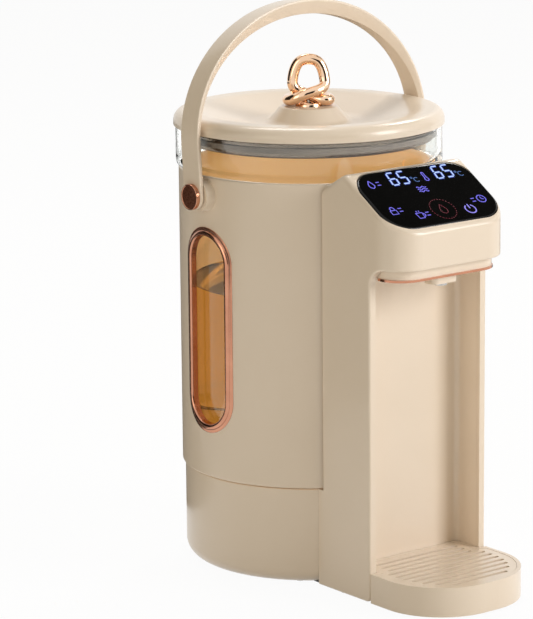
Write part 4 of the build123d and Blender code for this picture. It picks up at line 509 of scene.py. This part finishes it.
def ring_mesh(bm, rings, capped=False):
    """One skin over rings of points: the last joins the first, or both ends are capped."""
    made = [[bm.verts.new(point) for point in ring] for ring in rings]
    after = made[1:] if capped else made[1:] + made[:1]
    for ring, following in zip(made, after):
        for index in range(len(ring)):
            nxt = (index + 1) % len(ring)
            bm.faces.new((ring[index], ring[nxt], following[nxt], following[index]))
    if capped:
        bm.faces.new(made[-1])
        bm.faces.new(list(reversed(made[0])))


SHARP_EDGE = math.radians(38)
SAME_PLACE = 1e-7
NO_LENGTH = 1e-8


def finished(bm, name, looks):
    """A smooth object from a bmesh, with doubles merged and faces pointing outwards."""
    bmesh.ops.remove_doubles(bm, verts=bm.verts, dist=SAME_PLACE)
    bmesh.ops.dissolve_degenerate(bm, edges=bm.edges, dist=NO_LENGTH)
    bmesh.ops.recalc_face_normals(bm, faces=bm.faces)
    mesh = bpy.data.meshes.new(name)
    bm.to_mesh(mesh)
    bm.free()
    mesh.shade_smooth()
    mesh.set_sharp_from_angle(angle=SHARP_EDGE)
    piece = bpy.data.objects.new(name, mesh)
    for look in looks:
        mesh.materials.append(look)
    scene.collection.objects.link(piece)
    return piece


one_soft_corner = soften([(0, 0, 0), (1, 0, 0.2), (1, 1, 0), (0, 1, 0)])
print("a square with one softened corner has", len(one_soft_corner), "points")

# %% [markdown]
# ## Rivets
# The handle turns on two pins whose heads look like rivets: a flat dark disc in a bright
# raised rim. The outline is turned about the pins' axis, once to each side. The rim's faces
# take the bright metal, and the pins' inner ends are capped in the shell's plastic.

# %% Rivet-headed pins
PIVOT_Z = 296
TURN_STEPS = 96
RIVET_RIM = 8.8
PIN_END = 98.4
END_MARGIN = 0.1
rivet_outline = soften([
    (0, 114.8, 0), (RIVET_RIM, 114.8, 0.2), (9.1, 115.2, 0.15), (9.6, 115.2, 0.2),
    (9.8, 114.8, 0.2), (9.8, 112.1, 0), (4.0, 112.1, 0), (4.0, PIN_END, 0), (0, PIN_END, 0)])
rivets = bmesh.new()
for side in (-1, 1):
    ring_mesh(rivets, turned(
        rivet_outline, TURN_STEPS, lambda y, z, out: place(side * out, y, PIVOT_Z + z)))
# The pins' inner ends lie inside the lining's radius, so the shell's finish gives them its painted
# amber colour and glow.
handle_rivets = finished(rivets, "handle_rivets", [dark_copper, deep_copper, shell_plastic])
for face in handle_rivets.data.polygons:
    off_axis = math.hypot(face.center.y - pot_y, face.center.z - PIVOT_Z * MM) / MM
    at_end = abs(face.center.x) < (PIN_END + END_MARGIN) * MM
    face.material_index = 2 if at_end else 1 if off_axis > RIVET_RIM else 0
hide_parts("handle_pins")
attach(handle_rivets, "pot")
print("rivets:", len(handle_rivets.data.polygons), "faces")

# %% [markdown]
# ## Window frame
# A metal frame rims the level window: a round bead next to the glass and a thin flange
# outside it. Its outline is carried round the window's long oval and wrapped on the
# shell's round wall, so the frame follows the curve as the pressed metal does.

# %% Frame round the level window
WINDOW_Z = 191.9
WINDOW_HALF = 20.3
WINDOW_STRAIGHT = 52.4
SHELL_R = 100
ARC_STEPS = 48
STRAIGHT_STEPS = 30
frame_outline = soften([
    (0, -4.0, 0), (0, 2.05, 2.0), (4.4, 2.05, 2.1), (4.4, 0.75, 0.2),
    (6.8, 0.75, 0.45), (6.8, 0.1, 0), (2.0, 0.1, 0), (2.0, -4.0, 0)], steps=8)
oval = []
for end in (1, -1):
    for k in range(ARC_STEPS):
        a = math.pi * k / ARC_STEPS
        oval.append((end * math.cos(a), end * math.sin(a), end * WINDOW_STRAIGHT))
    for k in range(STRAIGHT_STEPS):
        oval.append((-end, 0, end * WINDOW_STRAIGHT * (1 - 2 * k / STRAIGHT_STEPS)))
rings = []
for across, proud in frame_outline:
    reach = WINDOW_HALF + across
    wrap = SHELL_R + proud
    rings.append([
        place(-math.sqrt(wrap ** 2 - (reach * c) ** 2), reach * c, WINDOW_Z + mid + reach * s)
        for c, s, mid in oval])
bezel = bmesh.new()
ring_mesh(bezel, rings)
window_frame = finished(bezel, "window_frame", [deep_copper])
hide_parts("window_bezel")
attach(window_frame, "pot")
print("window frame:", len(window_frame.data.polygons), "faces")

# %% [markdown]
# ## Knob
# The lid's knob is a rod of rose gold tied in a loose knot: it rises in a loop, its ends
# cross in front, and it goes once round the back of the foot. One closed curve with a
# round bevel draws that in a single stroke, and a smooth curve keeps the metal's
# reflections flowing, which separate rings could not.


# %% Knotted knob
def as_bmesh(piece):
    """A bmesh of what an object's curve or modifiers make. The object itself goes."""
    settled = piece.evaluated_get(bpy.context.evaluated_depsgraph_get())
    bm = bmesh.new()
    bm.from_mesh(bpy.data.meshes.new_from_object(settled))
    bpy.data.objects.remove(piece)
    return bm


KNOB_Z = 353.4
KNOB_TURN = math.radians(-38.7)
ROD_R = 4.2
knot_points = [
    (0, 0, 35.9), (-7.0, 0, 34.6), (-10.6, 0, 28.5), (-12.2, 0, 21.5), (-12.6, 0, 15.0),
    (-8.5, -0.5, 10.6), (0, 0.2, 8.8), (8.0, 3.2, 5.0), (14.5, 5.0, 4.4), (17.0, -2.0, 4.4),
    (12.0, -12.5, 4.4), (0, -16.5, 4.4), (-12.0, -12.5, 4.4), (-17.0, -2.0, 4.4),
    (-15.0, 7.5, 4.6), (-8.5, 11.5, 7.6), (0, 10.8, 11.0), (7.5, 7.6, 12.6), (12.6, 1.5, 14.6),
    (12.2, 0, 21.5), (10.6, 0, 28.5), (7.0, 0, 34.6)]
knot = bpy.data.curves.new("knob_knot", "CURVE")
knot.dimensions = "3D"
knot.bevel_depth = ROD_R * MM
knot.bevel_resolution = 10
knot.resolution_u = 16
strand = knot.splines.new("NURBS")
strand.points.add(len(knot_points) - 1)
for point, (across, front, rise) in zip(strand.points, knot_points):
    x = across * math.cos(KNOB_TURN) + front * math.sin(KNOB_TURN)
    y = across * math.sin(KNOB_TURN) - front * math.cos(KNOB_TURN)
    point.co = (*place(x, y, KNOB_Z + rise), 1)
strand.order_u = 4
strand.use_cyclic_u = True
knot_object = bpy.data.objects.new("knot_curve", knot)
scene.collection.objects.link(knot_object)
rod = as_bmesh(knot_object)
print("rod of the knot:", len(rod.faces), "faces")

# %% Foot of the knob
FOOT_TOP = KNOB_Z + 2.6
FOOT_TOP_R = 9.8
FOOT_R = 10.6
FOOT_EDGE = 1.2
foot_outline = soften([
    (0, FOOT_TOP, 0), (FOOT_TOP_R, FOOT_TOP, FOOT_EDGE), (FOOT_R, KNOB_Z, 0), (0, KNOB_Z, 0)])
ring_mesh(rod, turned(foot_outline, TURN_STEPS, place))
knob_knot = finished(rod, "knob_knot", [rose_gold])
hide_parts("lid_knob")
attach(knob_knot, "lid")
print("knob top at", round(max(v.co.z for v in knob_knot.data.vertices) / MM, 1), "mm")

# %% [markdown]
# ## Touch panel
# The panel is a slab of black glass with a soft rounded edge, set flush in the sloped top
# of the head. Its outline is drawn at a few insets, which gives the edge its rounding, and
# one flat face closes the top so that reflections stay straight.

# %% Black glass slab
PANEL_SLOPE = math.radians(31.74)
PANEL_HALF = 55.0
PANEL_REACH = 32.15
FRONT_CORNER = 22.0
BACK_CORNER = 20.0
PANEL_THICK = 3.0
PANEL_EDGE = 1.9
panel_up = Vector((0, math.cos(PANEL_SLOPE), math.sin(PANEL_SLOPE)))
panel_out = Vector((0, -math.sin(PANEL_SLOPE), math.cos(PANEL_SLOPE)))
panel_middle = place(0, -139.76, 303.6)


def on_panel(across, along, lift=0.0):
    """A place on the panel's face in millimetres from its middle."""
    flush = panel_middle + Vector((across * MM, 0, 0)) + panel_up * along * MM
    return flush + panel_out * lift * MM


def panel_ring(inset, lift):
    """The panel's outline, drawn in by an inset."""
    half = PANEL_HALF - inset
    reach = PANEL_REACH - inset
    front = FRONT_CORNER - inset
    back = BACK_CORNER - inset
    corners = [
        (-half, -reach, front), (half, -reach, front), (half, reach, back), (-half, reach, back)]
    return [on_panel(point.x, point.y, lift) for point in soften(corners, steps=20)]


# The last two corners only show the rounding which way the face lies.
edge_outline = soften(
    [(0, -PANEL_THICK, 0), (0, 0, PANEL_EDGE), (5, 0, 0), (5, -PANEL_THICK, 0)], steps=10)[:-2]
slab = bmesh.new()
ring_mesh(slab, [panel_ring(inset, lift) for inset, lift in edge_outline], capped=True)
panel_slab = finished(slab, "panel_slab", [black_glass])
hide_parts("touch_glass")
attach(panel_slab, "base")
print("panel slab:", len(panel_slab.data.polygons), "faces")

# %% [markdown]
# ## Water
# The pot is a little over half full. The water is a turned body just clear of the glass,
# with its surface drawn up a hair at the wall, as water does.

# %% Water in the vessel
WATER_R = 91.6
WATER_LOW = 104.4
WATER_LOW_EDGE = 3.0
WATER_TOP = 218.8
WATER_CLIMB = ((0, 1.1), (0.7, 0.5), (2.0, 0.12), (5.0, 0))  # in from the wall, up
WATER_STEPS = 160
# The water's amber tint is painted light: it carries the pot's painted amber glow, while the water
# itself is clear.
water_painted_amber = finish(
    "water_painted_amber", (0.95, 0.70, 0.25), (0.97, 0.74, 0.28), cloud=8, rough=(0.0, 0.01),
    grain=60, relief=0.002, Transmission_Weight=1.0, IOR=1.33, Specular_IOR_Level=0.05)
drawn_up = [(WATER_R - inwards, WATER_TOP + climb, 0) for inwards, climb in WATER_CLIMB]
water_outline = soften([
    (0, WATER_LOW, 0), (WATER_R, WATER_LOW, WATER_LOW_EDGE), *drawn_up, (0, WATER_TOP, 0)])
pool = bmesh.new()
ring_mesh(pool, turned(water_outline, WATER_STEPS, place))
pot_water = finished(pool, "pot_water", [water_painted_amber])
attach(pot_water, "pot")
print("water:", round(math.pi * WATER_R ** 2 * (WATER_TOP - WATER_LOW) / 1e6, 2), "litres")

# %% [markdown]
# ## Handle
# The bail handle is one strap of plastic, thicker over the crown than down its arms. The
# CAD keeps the bow and the arms as two nodes for collision, so here one skin stands for
# both: a rounded cross-section is carried along the strap, between the inner and the outer
# line of the side view. The section has a thin lip outside and wide bevels towards the
# hand, which is comfortable to hold. A boolean cut then opens the two holes for the pins.

# %% Lines of the strap
LEG_IN = 107.5
LEG_OUT = 112.0
CROWN_Z = 335.0
RISE_IN = 87.8
RISE_OUT = 99.0
HALF_STRAP = 10.2
STRAP_LIP = 1.7
STRAP_BEVEL = 0.62
STRAP_EDGE = 0.7
HANDLE_LEAN = math.radians(4.3)
END_SWEEP = 86
END_STEPS = 14
LEG_STEPS = 10
CROWN_STEPS = 110
one_side = []
for k in range(END_STEPS):
    swing = math.radians(-END_SWEEP + END_SWEEP * k / END_STEPS)
    rise = PIVOT_Z + HALF_STRAP * math.sin(swing)
    one_side.append(((LEG_IN, rise), (LEG_OUT, rise), HALF_STRAP * math.cos(swing)))
for k in range(LEG_STEPS):
    rise = PIVOT_Z + (CROWN_Z - PIVOT_Z) * k / LEG_STEPS
    one_side.append(((LEG_IN, rise), (LEG_OUT, rise), HALF_STRAP))
bow = []
for k in range(CROWN_STEPS + 1):
    a = math.pi * k / CROWN_STEPS
    inner = (LEG_IN * math.cos(a), CROWN_Z + RISE_IN * math.sin(a))
    outer = (LEG_OUT * math.cos(a), CROWN_Z + RISE_OUT * math.sin(a))
    bow.append((inner, outer, HALF_STRAP))
other_side = [
    ((-inner[0], inner[1]), (-outer[0], outer[1]), half)
    for inner, outer, half in reversed(one_side)]
strap_line = one_side + bow + other_side
print("strap in", len(strap_line), "cross-sections")


# %% Skin of the strap
SLIM_SHARE = 0.3
EDGE_SHARE = 0.25


def strap_ring(inner, outer, half):
    """A rounded cross-section of the strap, leaning back on the pins."""
    inner = Vector(inner)
    across = Vector(outer) - inner
    thick = across.length
    lip = thick - STRAP_LIP
    slim = max(half - STRAP_BEVEL * lip, SLIM_SHARE * half)
    edge = min(STRAP_EDGE, EDGE_SHARE * half)
    corners = [
        (0, -slim, edge), (lip, -half, edge), (thick, -half, edge),
        (thick, half, edge), (lip, half, edge), (0, slim, edge)]
    ring = []
    for point in soften(corners, steps=6):
        side = inner + across * point.x / thick
        rise = side.y - PIVOT_Z
        back = point.y * math.cos(HANDLE_LEAN) + rise * math.sin(HANDLE_LEAN)
        high = PIVOT_Z + rise * math.cos(HANDLE_LEAN) - point.y * math.sin(HANDLE_LEAN)
        ring.append(place(side.x, back, high))
    return ring


strap = bmesh.new()
ring_mesh(strap, [strap_ring(*station) for station in strap_line], capped=True)
solid_strap = finished(strap, "solid_strap", [cream_plastic])
print("strap skin:", len(solid_strap.data.polygons), "faces")

# %% Pin holes in the strap
PIN_HOLE_R = 4.1
DRILL_LONG = 0.3
DRILL_STEPS = 64
drill = bmesh.new()
bmesh.ops.create_cone(
    drill, cap_ends=True, segments=DRILL_STEPS, radius1=PIN_HOLE_R * MM,
    radius2=PIN_HOLE_R * MM, depth=DRILL_LONG,
    matrix=Matrix.Translation(place(0, 0, PIVOT_Z)) @ Matrix.Rotation(math.pi / 2, 4, "Y"))
drill_bit = finished(drill, "drill_bit", [cream_plastic])
cut = solid_strap.modifiers.new("pin_holes", "BOOLEAN")
cut.operation = "DIFFERENCE"
cut.solver = "EXACT"
cut.object = drill_bit
holed = as_bmesh(solid_strap)
bpy.data.objects.remove(drill_bit)
handle_strap = finished(holed, "handle_strap", [cream_plastic])
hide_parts("carry_handle", "handle_arms")
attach(handle_strap, "handle")
strap_top = max(v.co.z for v in handle_strap.data.vertices) / MM
print("handle strap:", len(handle_strap.data.polygons), "faces, top at", round(strap_top, 1))

# %% [markdown]
# ## Lit signs on the panel
# Under the black glass, small lamps light up digits, marks and a power sign. All of them
# are strokes, so they are drawn as lines in the panel's plane, and one Geometry Nodes tree
# gives every line its stroke width and a hair of thickness. The tree takes the width, the
# thickness and the finish as inputs, so the same tree draws bright digits, their blue
# glow and the dim red ring.

# %% Tree that turns lines into strokes
stroke_tree = bpy.data.node_groups.new("lit_strokes", "GeometryNodeTree")
stroke_sockets = {
    name: stroke_tree.interface.new_socket(name=name, in_out="INPUT", socket_type=kind)
    for name, kind in (
        ("Lines", "NodeSocketGeometry"), ("Width", "NodeSocketFloat"),
        ("Thickness", "NodeSocketFloat"), ("Finish", "NodeSocketMaterial"))}
stroke_tree.interface.new_socket(name="Strokes", in_out="OUTPUT", socket_type="NodeSocketGeometry")
given = stroke_tree.nodes.new("NodeGroupInput")
made = stroke_tree.nodes.new("NodeGroupOutput")
as_curves = stroke_tree.nodes.new("GeometryNodeMeshToCurve")
flat_lying = stroke_tree.nodes.new("GeometryNodeSetCurveNormal")
flat_lying.mode = "Z_UP"
nib = stroke_tree.nodes.new("GeometryNodeCurvePrimitiveQuadrilateral")
swept = stroke_tree.nodes.new("GeometryNodeCurveToMesh")
swept.inputs["Fill Caps"].default_value = True
real = stroke_tree.nodes.new("GeometryNodeRealizeInstances")
painted = stroke_tree.nodes.new("GeometryNodeSetMaterial")
wire(stroke_tree, given.outputs["Lines"], as_curves.inputs["Mesh"])
wire(stroke_tree, as_curves.outputs[0], flat_lying.inputs["Curve"])
wire(stroke_tree, given.outputs["Width"], nib.inputs["Width"])
wire(stroke_tree, given.outputs["Thickness"], nib.inputs["Height"])
wire(stroke_tree, flat_lying.outputs[0], swept.inputs["Curve"])
wire(stroke_tree, nib.outputs[0], swept.inputs["Profile Curve"])
wire(stroke_tree, swept.outputs[0], real.inputs[0])
wire(stroke_tree, real.outputs[0], painted.inputs["Geometry"])
wire(stroke_tree, given.outputs["Finish"], painted.inputs["Material"])
wire(stroke_tree, painted.outputs[0], made.inputs[0])
print("stroke tree inputs:", list(stroke_sockets))


# %% Helpers that draw lines on the panel
SIGN_THICK = 0.06


def lit_signs(name, lines, width, lift, look):
    """Strokes along lines of (across, along) points in millimetres, laid on the panel."""
    points = [(x * MM, y * MM, 0) for line in lines for x, y in line]
    edges = []
    start = 0
    for line in lines:
        edges += [(start + k, start + k + 1) for k in range(len(line) - 1)]
        start += len(line)
    sketch = bpy.data.meshes.new(name)
    sketch.from_pydata(points, edges, [])
    drawn = bpy.data.objects.new(name + "_lines", sketch)
    scene.collection.objects.link(drawn)
    strokes = drawn.modifiers.new("strokes", "NODES")
    strokes.node_group = stroke_tree
    strokes[stroke_sockets["Width"].identifier] = width * MM
    strokes[stroke_sockets["Thickness"].identifier] = SIGN_THICK * MM
    strokes[stroke_sockets["Finish"].identifier] = look
    bm = as_bmesh(drawn)
    facing = Matrix((Vector((1, 0, 0)), panel_up, panel_out)).transposed().to_4x4()
    bm.transform(Matrix.Translation(on_panel(0, 0, lift)) @ facing)
    piece = finished(bm, name, [look])
    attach(piece, "base")
    print(name, "has", len(lines), "strokes and", len(piece.data.polygons), "faces")


def arc(centre, radius, start, end, steps=10):
    """Points on a circle, between two angles in degrees."""
    angles = [math.radians(start + (end - start) * k / steps) for k in range(steps + 1)]
    return [
        (centre[0] + radius * math.cos(a), centre[1] + radius * math.sin(a)) for a in angles]


def lamp_look(name, dark, light, shine, strength=1.0):
    """A dark finish that gives off light of one colour."""
    return finish(
        name, dark, light, relief=0.0, Emission_Color=(*shine, 1), Emission_Strength=strength,
        Specular_IOR_Level=0.05)


print("strokes are", SIGN_THICK, "mm thick")


# %% Digits
DIGIT_LOW = 15.0
DIGIT_HIGH = 28.2
DIGIT_SLANT = 0.128
SEGMENT_GAP = 0.55
SEGMENTS = {"6": "afgecd", "5": "afgcd"}


def digit(left, right_edge, figure):
    """The lit segments of one slanted seven-segment figure."""
    mid = (DIGIT_LOW + DIGIT_HIGH) / 2
    gap = SEGMENT_GAP
    start, end = left + gap, right_edge - gap
    ends = {
        "a": ((start, DIGIT_HIGH), (end, DIGIT_HIGH)),
        "g": ((start, mid), (end, mid)),
        "d": ((start, DIGIT_LOW), (end, DIGIT_LOW)),
        "f": ((left, mid + gap), (left, DIGIT_HIGH - gap)),
        "e": ((left, DIGIT_LOW + gap), (left, mid - gap)),
        "c": ((right_edge, DIGIT_LOW + gap), (right_edge, mid - gap))}
    return [[(x + DIGIT_SLANT * y, y) for x, y in ends[segment]] for segment in SEGMENTS[figure]]


DIGIT_PLACES = ((-24.7, -18.6, "6"), (-15.0, -8.7, "5"), (18.4, 24.5, "6"), (28.0, 34.2, "5"))
figures = [line for spot in DIGIT_PLACES for line in digit(*spot)]
digit_light = lamp_look(
    "digit_light", (0.02, 0.03, 0.06), (0.03, 0.04, 0.08), shine=(0.50, 0.68, 1.0))
digit_glow = lamp_look(
    "digit_glow", (0.01, 0.012, 0.03), (0.012, 0.016, 0.04), shine=(0.03, 0.07, 0.75),
    strength=0.55)
lit_signs("panel_digits", figures, width=1.15, lift=0.13, look=digit_light)
lit_signs("panel_glow", figures, width=2.3, lift=0.05, look=digit_glow)

# %% [markdown]
# The touch marks are plain picture signs of the kind many kettles have: a drop, a cup, a
# lock, a clock, a thermometer and waves. Each is drawn in a box from -1 to 1 and then set
# in its place on the panel. Four of them have a pair of short bars beside them.

# %% Shapes of the marks
MARK_DROP = [[
    (0, 1.0), (-0.45, 0.25), (-0.6, -0.25), (-0.45, -0.7), (0, -0.95), (0.45, -0.7),
    (0.6, -0.25), (0.45, 0.25), (0, 1.0)]]
MARK_CUP = [
    [(-0.8, 0.5), (-0.65, -0.85), (0.45, -0.85), (0.6, 0.5), (-0.8, 0.5)],
    arc((0.55, -0.15), 0.42, -75, 75, 6),
    [(-0.4, 0.75), (-0.4, 1.05)], [(0.15, 0.75), (0.15, 1.05)]]
MARK_LOCK = [
    [(-0.7, 0.1), (0.7, 0.1), (0.7, -0.95), (-0.7, -0.95), (-0.7, 0.1)],
    [(-0.45, 0.1), (-0.45, 0.5), *arc((0, 0.5), 0.45, 180, 0, 8), (0.45, 0.5), (0.45, 0.1)]]
MARK_CLOCK = [arc((0, 0), 0.95, 0, 360, 20), [(0, 0.55), (0, 0), (0.45, -0.2)]]
MARK_HEAT = [
    [(-0.22, 0.95), (-0.22, -0.3)], [(0.22, 0.95), (0.22, -0.3)],
    arc((0, -0.6), 0.4, 125, 415, 12), arc((0, 0.95), 0.22, 0, 180, 6)]
MARK_WAVES = [
    [(-1.0 + 0.25 * k, rise + 0.18 * math.sin(k * math.pi / 2)) for k in range(9)]
    for rise in (0.45, -0.05, -0.55)]
print("six marks drawn")


# %% Touch marks
def set_mark(mark, x0, y0, size):
    """The lines of a mark at its place and size on the panel."""
    return [[(x0 + size * x, y0 + size * y) for x, y in line] for line in mark]


MARK_PLACES = [
    (MARK_HEAT, 10.3, 18.9, 4.3), (MARK_WAVES, -0.8, 6.9, 4.4), (MARK_DROP, -41.5, 19.0, 4.2),
    (MARK_LOCK, -41.5, -10.7, 4.0), (MARK_CUP, -21.4, -18.9, 4.2), (MARK_CLOCK, 42.2, -12.4, 4.0)]
BAR_LONG = 3.2
BAR_OFF = 1.6
BAR_PLACES = ((-36.2, 19.0), (-36.4, -10.7), (-16.0, -18.9), (36.0 - BAR_LONG, -12.4))
SIGN_LIFT = 0.09
marks = [line for spot in MARK_PLACES for line in set_mark(*spot)]
bars = [
    [(x0, y0 + off), (x0 + BAR_LONG, y0 + off)]
    for x0, y0 in BAR_PLACES for off in (BAR_OFF, -BAR_OFF)]
mark_light = lamp_look(
    "mark_light", (0.02, 0.02, 0.05), (0.03, 0.03, 0.06), shine=(0.16, 0.14, 0.80))
lit_signs("touch_marks", marks + bars, width=0.85, lift=SIGN_LIFT, look=mark_light)

# %% Degree signs
DEGREE_PLACES = ((-2.4, 17.4), (40.1, 16.7))
DOT_R, DOT_UP = 0.8, 2.6
LETTER_R, LETTER_RIGHT = 2.3, 3.6
degrees = []
for x0, y0 in DEGREE_PLACES:
    degrees.append(arc((x0, y0 + DOT_UP), DOT_R, 0, 360, 10))
    degrees.append(arc((x0 + LETTER_RIGHT, y0), LETTER_R, 45, 315, 12))
degree_light = lamp_look(
    "degree_light", (0.01, 0.015, 0.03), (0.015, 0.02, 0.04), shine=(0.06, 0.13, 0.34))
lit_signs("degree_signs", degrees, width=0.7, lift=SIGN_LIFT, look=degree_light)

# %% Power sign
POWER_X, POWER_Y = 25.4, -20.9
POWER_R = 4.5
POWER_LOW, POWER_HIGH = 0.6, 5.2
power_light = lamp_look(
    "power_light", (0.02, 0.02, 0.05), (0.03, 0.03, 0.06), shine=(0.30, 0.26, 0.90))
power_lines = [
    arc((POWER_X, POWER_Y), POWER_R, 120, 420, 28),
    [(POWER_X, POWER_Y + POWER_LOW), (POWER_X, POWER_Y + POWER_HIGH)]]
lit_signs("power_sign", power_lines, width=1.0, lift=SIGN_LIFT, look=power_light)

# %% Dim ring with a drop
RING_AT = (1.8, -16.6)
RING_R = 10.7
RING_DASHES = 28
DASH_SHARE = 0.55
RING_DROP = 5.2
ring_lines = [
    arc(RING_AT, RING_R, 360 * k / RING_DASHES, 360 * (k + DASH_SHARE) / RING_DASHES, 3)
    for k in range(RING_DASHES)]
ring_lines += set_mark(MARK_DROP, *RING_AT, RING_DROP)
ring_light = lamp_look(
    "ring_light", (0.012, 0.004, 0.005), (0.016, 0.006, 0.007), shine=(0.11, 0.010, 0.019),
    strength=0.8)
lit_signs("flow_ring", ring_lines, width=0.8, lift=SIGN_LIFT, look=ring_light)

# %% [markdown]
# ## Screws underneath
# Six screws hold the bottom plate. They are all alike, so one Geometry Nodes tree makes a
# screw with a cross recess and sets it on six points. The head is a short drum on a plain
# shank, and the cross is cut with a mesh boolean.

# %% Tree for the cross-head screws
HEAD_SIDES = 40
SHANK_SIDES = 24
CROSS_SINK = 0.8
screw_tree = bpy.data.node_groups.new("plate_screw_set", "GeometryNodeTree")
screw_sockets = {
    name: screw_tree.interface.new_socket(name=name, in_out="INPUT", socket_type=kind)
    for name, kind in (
        ("Places", "NodeSocketGeometry"), ("Head Radius", "NodeSocketFloat"),
        ("Head Height", "NodeSocketFloat"), ("Shank Radius", "NodeSocketFloat"),
        ("Shank Length", "NodeSocketFloat"), ("Cross Size", "NodeSocketVector"),
        ("Finish", "NodeSocketMaterial"))}
screw_tree.interface.new_socket(name="Screws", in_out="OUTPUT", socket_type="NodeSocketGeometry")
asked = screw_tree.nodes.new("NodeGroupInput")
ready = screw_tree.nodes.new("NodeGroupOutput")
head = screw_tree.nodes.new("GeometryNodeMeshCylinder")
head.inputs["Vertices"].default_value = HEAD_SIDES
shank = screw_tree.nodes.new("GeometryNodeMeshCylinder")
shank.inputs["Vertices"].default_value = SHANK_SIDES
slot_bar = screw_tree.nodes.new("GeometryNodeMeshCube")
crossed = screw_tree.nodes.new("GeometryNodeTransform")
crossed.inputs["Rotation"].default_value = (0, 0, math.pi / 2)
cutters = screw_tree.nodes.new("GeometryNodeJoinGeometry")
sunk = screw_tree.nodes.new("GeometryNodeTransform")
sunk.inputs["Translation"].default_value = (0, 0, -CROSS_SINK * MM)
recess = screw_tree.nodes.new("GeometryNodeMeshBoolean")
recess.operation = "DIFFERENCE"
recess.solver = "EXACT"
recess.inputs["Self Intersection"].default_value = True
half_up = worked_out(screw_tree, "MULTIPLY", asked.outputs["Shank Length"], 0.5)
lift_by = screw_tree.nodes.new("ShaderNodeCombineXYZ")
risen = screw_tree.nodes.new("GeometryNodeTransform")
whole = screw_tree.nodes.new("GeometryNodeJoinGeometry")
spread = screw_tree.nodes.new("GeometryNodeInstanceOnPoints")
solid = screw_tree.nodes.new("GeometryNodeRealizeInstances")
coated = screw_tree.nodes.new("GeometryNodeSetMaterial")
print("screw tree:", len(screw_tree.nodes), "nodes")

# %% Wires of the screw tree
for source, target in (
        (asked.outputs["Head Radius"], head.inputs["Radius"]),
        (asked.outputs["Head Height"], head.inputs["Depth"]),
        (asked.outputs["Shank Radius"], shank.inputs["Radius"]),
        (asked.outputs["Shank Length"], shank.inputs["Depth"]),
        (asked.outputs["Cross Size"], slot_bar.inputs["Size"]),
        (slot_bar.outputs["Mesh"], crossed.inputs["Geometry"]),
        (slot_bar.outputs["Mesh"], cutters.inputs[0]), (crossed.outputs[0], cutters.inputs[0]),
        (half_up, lift_by.inputs["Z"]), (lift_by.outputs[0], risen.inputs["Translation"]),
        (shank.outputs["Mesh"], risen.inputs["Geometry"]),
        (head.outputs["Mesh"], recess.inputs["Mesh 1"]),
        (sunk.outputs[0], recess.inputs["Mesh 2"]), (cutters.outputs[0], sunk.inputs["Geometry"]),
        (recess.outputs["Mesh"], whole.inputs[0]), (risen.outputs[0], whole.inputs[0]),
        (asked.outputs["Places"], spread.inputs["Points"]),
        (whole.outputs[0], spread.inputs["Instance"]), (spread.outputs[0], solid.inputs[0]),
        (solid.outputs[0], coated.inputs["Geometry"]),
        (asked.outputs["Finish"], coated.inputs["Material"]), (coated.outputs[0], ready.inputs[0])):
    wire(screw_tree, source, target)
print("screw tree inputs:", list(screw_sockets))

# %% Six screws under the plate
SCREW_RING = 81.0
SCREW_FRONT = (50.0, -103.1)
SCREW_HEAD_Z = 1.2
SCREW_SIZES = {
    "Head Radius": 3.0 * MM, "Head Height": 1.6 * MM, "Shank Radius": 1.45 * MM,
    "Shank Length": 12.8 * MM, "Cross Size": (3.6 * MM, 0.7 * MM, 1.7 * MM)}
screw_spots = [
    (SCREW_RING * math.cos(math.radians(a)), SCREW_RING * math.sin(math.radians(a)))
    for a in (45, 135, 225, 315)]
screw_spots += [SCREW_FRONT, (-SCREW_FRONT[0], SCREW_FRONT[1])]
spots = bpy.data.meshes.new("screw_spots")
spots.from_pydata([place(x, y, SCREW_HEAD_Z) for x, y in screw_spots], [], [])
screw_field = bpy.data.objects.new("screw_field", spots)
scene.collection.objects.link(screw_field)
setting = screw_field.modifiers.new("screws", "NODES")
setting.node_group = screw_tree
for name, value in (*SCREW_SIZES.items(), ("Finish", brushed_steel)):
    setting[screw_sockets[name].identifier] = value
cross_screws = finished(as_bmesh(screw_field), "cross_screws", [brushed_steel])
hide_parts("plate_screws")
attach(cross_screws, "base")
screw_low = min(v.co.z for v in cross_screws.data.vertices) / MM
print("cross screws:", len(cross_screws.data.polygons), "faces, lowest", round(screw_low, 2))
